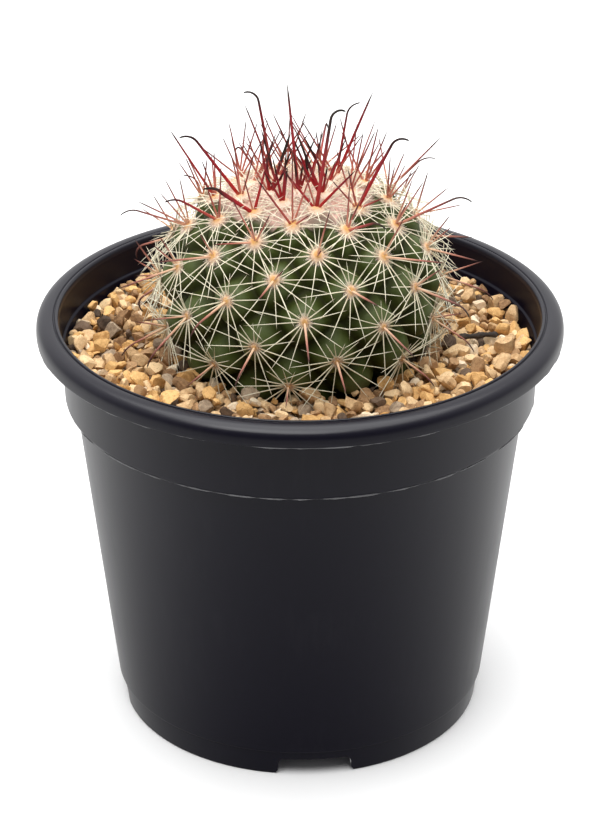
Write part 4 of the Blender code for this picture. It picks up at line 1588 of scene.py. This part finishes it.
@dataclass
class GritBed:
    """The top dressing: angular grains that are laid down one after another on those below."""

    stem_radius: float
    wall_radius: float
    base_height: float
    rng: np.random.Generator
    grains: int = 3120
    cell: float = 0.30 * MM
    shape_count: int = 40
    tries: int = 7
    rolls: int = 4
    facet_angle: float = math.radians(24)
    margin_cells: int = 24
    facets: Tuple[int, int] = (7, 12)
    facet_depths: Span = (0.40, 0.74)
    bump_scale: float = 1.7
    bump_depth: float = 0.13
    widths: Span = (0.68, 0.95)
    thicknesses: Span = (0.52, 0.80)
    usual_size: float = 2.2
    size_spread: float = 0.34
    smallest: float = 1.2
    largest: float = 4.3
    tipping: float = 0.5
    fullness: float = 0.93
    bedding: float = 0.16
    cover: float = 0.9 * MM
    stem_gap: float = 0.76
    roll_gap: float = 0.75
    wall_gap: float = 1.01
    roll: float = 0.4
    bed_rings: int = 26
    bed_columns: int = 180
    bed_lift: float = 0.5 * MM
    bed_roughness: float = 0.7 * MM
    lump_size: float = 1.3 * MM

    def __post_init__(self) -> None:
        """Lay out the height map that the grains are dropped on."""
        side = int(2 * self.wall_radius / self.cell) + self.margin_cells
        self.origin = -side * self.cell / 2
        self.heights = np.full((side, side), self.base_height)

    def shape(self) -> np.ndarray:
        """Return the points of one stone, with its longest side 1 and its facets worn."""
        rng = self.rng
        points = BALL[0].copy()
        for _ in range(int(rng.integers(*self.facets))):
            facing = unit(rng.normal(size=3))
            beyond = np.maximum(points @ facing - rng.uniform(*self.facet_depths), 0)
            points -= beyond[:, None] * facing
        drift = Vector(rng.uniform(0, 50, 3))
        bumps = [noise.noise(Vector(point) * self.bump_scale + drift) for point in points]
        points *= 1 + self.bump_depth * np.array(bumps)[:, None]
        points *= (1.0, rng.uniform(*self.widths), rng.uniform(*self.thicknesses))
        return points / np.ptp(points, axis=0).max()

    def turned_shape(self, shape: np.ndarray, size: float) -> np.ndarray:
        """Return a stone at its size, turned any way about upright and tipped a little."""
        rng = self.rng
        first, second = (Matrix.Rotation(rng.normal(0, self.tipping), 3, axis) for axis in "XY")
        turn = Matrix.Rotation(rng.uniform(0, math.tau), 3, "Z") @ (first @ second)
        points = shape @ np.array(turn).T * size
        return points - (points.max(axis=0) + points.min(axis=0)) / 2

    def window(self, place: np.ndarray, half: np.ndarray) -> Tuple[slice, slice, np.ndarray]:
        """Return the map's cells under a stone, and how thick half the stone is above each."""
        low = ((place - half[:2] - self.origin) / self.cell).astype(int)
        high = ((place + half[:2] - self.origin) / self.cell).astype(int) + 2
        rows, columns = (
            (np.arange(low[side], high[side]) * self.cell + self.origin - place[side]) / half[side]
            for side in (0, 1)
        )
        inside = 1 - rows[:, None] ** 2 - columns[None] ** 2
        thick = np.where(inside > 0, half[2] * np.sqrt(np.maximum(inside, 0)), -1.0)
        return slice(low[0], high[0]), slice(low[1], high[1]), thick

    def rest(self, place: np.ndarray, half: np.ndarray) -> float:
        """Return the height at which a stone's centre comes to rest."""
        rows, columns, thick = self.window(place, half)
        return float(np.where(thick > 0, self.heights[rows, columns] + thick, 0).max())

    def allowed(self, place: np.ndarray, half: np.ndarray) -> bool:
        """Return whether a stone stands clear of the wall and of the stem."""
        out = float(np.hypot(*place))
        reach = float(max(half[:2]))
        return self.stem_radius + self.roll_gap * reach < out < self.wall_radius - reach

    def lay(self, library: List[np.ndarray]) -> LooseStone:
        """Pick a stone, let it settle and raise the height map under it."""
        rng = self.rng
        kinds = list(Grit)
        shares = np.array([kind.share for kind in kinds])
        kind = kinds[int(rng.choice(len(kinds), p=shares / shares.sum()))]
        size = rng.lognormal(math.log(self.usual_size), self.size_spread)
        size = float(np.clip(size, self.smallest, self.largest)) * kind.size * MM
        points = self.turned_shape(library[int(rng.integers(len(library)))], size)
        half = points.max(axis=0) * self.fullness
        place, height = self.settle_place(half)
        height -= self.bedding * half[2]
        rows, columns, thick = self.window(place, half)
        lifted = np.where(thick > 0, height + thick, 0)
        self.heights[rows, columns] = np.maximum(self.heights[rows, columns], lifted)
        return LooseStone(kind, points, np.array((*place, height)), half, rng.uniform())

    def shows(self, stone: LooseStone) -> bool:
        """Return whether any of a stone lies near enough to the top to be seen."""
        rows, columns, thick = self.window(stone.place[:2], stone.half)
        cover = self.heights[rows, columns] - (stone.place[2] + thick)
        return bool((np.where(thick > 0, cover, 1.0) < self.cover).any())

    def settle_place(self, half: np.ndarray) -> Tuple[np.ndarray, float]:
        """Find where a stone settles: the lowest of a few places, and then downhill."""
        rng = self.rng
        best, lowest = np.zeros(2), math.inf
        nearest = self.stem_radius + self.stem_gap * max(half[:2])
        furthest = self.wall_radius - self.wall_gap * max(half[:2])
        for _ in range(self.tries):
            out = math.sqrt(rng.uniform(self.stem_radius ** 2, self.wall_radius ** 2))
            out = min(max(out, nearest), furthest)
            place = around(rng.uniform(0, math.tau))[:2] * out
            height = self.rest(place, half)
            if height < lowest:
                best, lowest = place, height
        for _ in range(self.rolls):
            start = rng.uniform(0, math.tau)
            for quarter in range(4):
                way = around(start + quarter * math.pi / 2)[:2]
                place = best + way * half[0] * self.roll
                if self.allowed(place, half) and self.rest(place, half) < lowest:
                    best, lowest = place, self.rest(place, half)
        return best, lowest

    def build(self) -> Dict[Grit, bpy.types.Object]:
        """Build the grains, one piece for each kind of stone.

        Returns:
            The pieces by kind.
        """
        library = [self.shape() for _ in range(self.shape_count)]
        stones = [self.lay(library) for _ in range(self.grains)]
        gathered = {kind: Shapes() for kind in Grit}
        for stone in stones:
            if self.shows(stone):
                gathered[stone.kind].add(stone.points + stone.place, BALL[1], tone=stone.tone)
        pieces = {}
        for kind, shapes in gathered.items():
            pieces[kind] = shapes.make(f"{kind.name.lower()}_grit", kind.finish)
            pieces[kind].data.set_sharp_from_angle(angle=self.facet_angle)
        return pieces

    def build_bed(self) -> bpy.types.Object:
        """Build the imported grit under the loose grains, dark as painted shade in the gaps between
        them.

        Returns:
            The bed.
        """
        rings = np.linspace(self.stem_radius - 2 * MM, self.wall_radius, self.bed_rings)
        width = self.bed_columns
        radius, azimuth = np.meshgrid(rings, np.arange(width) * math.tau / width, indexing="ij")
        points = (around(azimuth) * radius[..., None]).reshape(-1, 3)
        rough = np.array([noise.noise(Vector(point) / self.lump_size) for point in points])
        points[:, 2] = self.base_height + self.bed_lift + rough * self.bed_roughness
        shapes = Shapes()
        shapes.add(points, grid_faces(self.bed_rings, width), tone=0.2)
        return shapes.make("grit_bed_gap_shade", GAP_SHADE_STONE)


# ------------------------------------------------------------------ twig

@dataclass
class Twig:
    """A broken bit of dead twig, crooked and knobbly."""

    low: Sequence[float]
    high: Sequence[float]
    rng: np.random.Generator
    azimuth: float = math.radians(8)
    rings: int = 26
    sides: int = 12
    trim: float = 0.98
    sway: float = 0.22
    knot: float = 0.18
    slimness: float = 0.80
    unevenness: float = 0.05

    def build(self) -> bpy.types.Object:
        """Build the twig between the corners of its solid's box.

        Returns:
            The twig.
        """
        rng = self.rng
        low, high = np.array(self.low), np.array(self.high)
        centre, length = (low + high) / 2, (high - low)[0] * self.trim
        radius = (high - low)[2] / 2
        shares = np.linspace(-0.5, 0.5, self.rings)
        axis = np.array((math.cos(self.azimuth), math.sin(self.azimuth), 0))
        across = np.array((-axis[1], axis[0], 0))
        sway = self.sway * radius * np.sin(shares * 9)
        sway = sway + rng.normal(0, self.unevenness, self.rings) * radius
        path = centre + axis * (shares * length)[:, None] + across * sway[:, None]
        knots = 1 + self.knot * np.sin(shares * 17 + 1)
        knots = knots + rng.normal(0, self.unevenness, self.rings)
        ends = np.clip((0.5 - np.abs(shares)) * 16, 0.25, 1) ** 0.5
        radii = radius * self.slimness * knots * ends
        points, faces = tube(path, radii[:-1], self.sides)
        points[:-1] += rng.normal(0, 0.03, (len(points) - 1, 3)) * radius
        shapes = Shapes()
        shapes.add(points, faces)
        return shapes.make("dead_twig", TWIG_BARK)


# ------------------------------------------------------------------ studio

@dataclass
class Studio:
    """White table, soft light from above and behind, and the camera."""

    camera_place: Tuple[float, float, float] = (0.0, -0.5411, 0.3386)
    camera_tilt: float = math.radians(63.02)
    lens: float = 131.4
    floor_side: float = 8.0
    side_light: float = 1.35
    table_light: float = 4.9
    sensor: float = 36.0
    aim: Tuple[float, float, float] = (0.0, 0.0, 0.06)
    overhead_power: float = 13.5
    front_power: float = 9.0
    base_glow: float = 0.10
    back_glow: float = 1.03
    top_glow: float = 0.28
    foot_shade: float = 0.55
    horizon: float = 0.02

    def floor(self) -> bpy.types.Object:
        """Return the floor."""
        half = self.floor_side / 2
        corners = [(-half, -half, 0), (half, -half, 0), (half, half, 0), (-half, half, 0)]
        shapes = Shapes()
        shapes.add(np.array(corners), [(0, 1, 2, 3)])
        floor = shapes.make("studio_floor", FLOOR_WHITE)
        floor.visible_glossy = False
        return floor

    def lamp(
        self, name: str, place: Sequence[float], size: Tuple[float, float], power: float
    ) -> None:
        """Add a soft box that faces the plant.

        Args:
            name: The lamp's name.
            place: Where it hangs, in metres.
            size: Its width and height, in metres.
            power: Its power in watts.
        """
        light = bpy.data.lights.new(name, "AREA")
        light.shape = "RECTANGLE"
        light.size, light.size_y = size
        light.energy = power
        lamp = bpy.data.objects.new(name, light)
        lamp.location = place
        aim = Vector(self.aim) - Vector(place)
        lamp.rotation_euler = aim.to_track_quat("-Z", "Y").to_euler()
        bpy.context.scene.collection.objects.link(lamp)

    def surroundings(self) -> None:
        """Make the room white, brighter beside and behind the plant than before it."""
        world = bpy.data.worlds.new("white_room")
        world.use_nodes = True
        bpy.context.scene.world = world
        graph = Graph(world.node_tree, "Background")
        way = graph.add("ShaderNodeTexCoord", output="Generated")
        depth, rise = graph.part(way, "Y"), graph.part(way, "Z")
        front = graph.clamped(depth * -1, 0.0, 0.85)
        steep = rise * rise
        table = steep * (1 - steep) ** 2 * self.table_light
        shade = 1 - graph.clamped(steep, 0.32, 0.75) * self.foot_shade
        below = front * table + (1 - front) * shade * self.side_light
        behind, overhead = graph.clamped(depth, -0.7, 0.9), graph.clamped(rise, 0.15, 0.85)
        above = behind * self.back_glow + self.base_glow + overhead * self.top_glow
        upward = graph.clamped(rise, -self.horizon, self.horizon)
        graph.set(Color=(1.0, 1.0, 1.0), Strength=upward * above + (1 - upward) * below)

    def build(self) -> None:
        """Set up the floor, the lights, the camera and the tone curve."""
        self.floor()
        self.lamp("overhead_box", (0.0, 0.15, 1.15), (1.3, 1.0), self.overhead_power)
        self.lamp("front_box", (-0.15, -0.52, 1.12), (0.9, 0.6), self.front_power)
        self.surroundings()
        camera = bpy.data.cameras.new("camera")
        camera.lens = self.lens
        camera.sensor_width = self.sensor
        eye = bpy.data.objects.new("camera", camera)
        eye.location = self.camera_place
        eye.rotation_euler = (self.camera_tilt, 0, 0)
        scene = bpy.context.scene
        scene.collection.objects.link(eye)
        scene.camera = eye
        scene.view_settings.view_transform = "Standard"


# ------------------------------------------------------------------ assembly

class Seed(Enum):
    """Where each thing's random draws start."""

    GRIT = 11
    TWIG = 12
    HABIT = 21
    SKIRT_FLASH_GLINT = 29
    COLLAR_FLASH_GLINT = 31
    TIERS = 30
    CROWN_WOOL = 41

    def draws(self, step: int = 0) -> np.random.Generator:
        """Return the random draws of one thing, or of a later one in its row."""
        return np.random.default_rng(self.value + step)


@dataclass(frozen=True)
class Band:
    """A band of areoles: its name, its areoles and the names and slot of its solids."""

    name: str
    first: int
    last: int
    nodes: str
    slot: str


BANDS = (
    Band("crown", 0, 8, "crown_spines", "young_spine"),
    Band("upper", 8, 34, "upper_spines", "young_spine"),
    Band("middle", 34, 56, "spine_cluster", "old_spine"),
    Band("lower", 56, 82, "lower_spines", "old_spine"),
)


class PottedCactus:
    """The whole part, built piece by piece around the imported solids."""

    centre_height = 90.2 * MM
    bed_inner = 23.9 * MM
    bed_outer = 46.6 * MM
    bed_rise = 1.7 * MM
    skirt_inset = 0.22 * MM
    collar_inset = 0.17 * MM
    flash_lift = 0.02 * MM

    def __init__(self) -> None:
        """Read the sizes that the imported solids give."""
        low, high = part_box("pot")
        self.rim_radius, self.rim_height = (high[0] - low[0]) / 2, high[2]
        self.mix_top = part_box("potting_mix")[1][2]
        self.stem = Stem(centre_height=self.centre_height)

    def nodes(self, start: str) -> List[str]:
        """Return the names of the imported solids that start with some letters."""
        return sorted(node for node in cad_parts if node.startswith(start))

    def build_pot(self) -> None:
        """Build the pot and give the potting mix its soil."""
        pot = Pot(self.rim_radius, self.rim_height)
        settle(pot.build(), ["pot"])
        # The two flash rings carry painted glints along the skirt's and the collar's lower edges.
        edges = (
            (Seed.SKIRT_FLASH_GLINT, pot.rim_radius - self.skirt_inset, pot.skirt_bottom),
            (Seed.COLLAR_FLASH_GLINT, pot.collar_radius - self.collar_inset, COLLAR_BOTTOM),
        )
        for seed, radius, height in edges:
            name, height = seed.name.lower(), height + self.flash_lift
            settle(pot.build_flash(name, radius, height, seed.draws()))
        for place in bpy.data.objects["potting_mix"].material_slots:
            place.material = DARK_SOIL.material()

    def build_grit(self) -> None:
        """Build the grit and the twig that lies on it."""
        base = self.mix_top + self.bed_rise
        bed = GritBed(self.bed_inner, self.bed_outer, base, Seed.GRIT.draws())
        grains = bed.build()
        settle(bed.build_bed(), ["grit_bed"])
        for piece in grains.values():
            settle(piece)
        settle(Twig(*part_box("twig"), Seed.TWIG.draws()).build(), ["twig"])

    def build_plant(self) -> None:
        """Build the stem, its spines and its wool."""
        settle(self.stem.build(), ["cactus_body"])
        areoles = find_areoles(self.stem)
        habit = Habit(Seed.HABIT.draws())
        for number, band in enumerate(BANDS, start=1):
            grown, nodes = areoles[band.first:band.last], self.nodes(band.nodes)
            Tier(band.name, grown, nodes, band.slot, Seed.TIERS.draws(number)).build(habit)
        settle(CrownWool(self.stem, Seed.CROWN_WOOL.draws()).build())


def main() -> None:
    """Build every piece of the plant and its pot."""
    logging.basicConfig(level=logging.INFO, format="%(message)s")
    plant = PottedCactus()
    plant.build_pot()
    plant.build_grit()
    plant.build_plant()
    Studio().build()


if __name__ == "__main__":
    main()
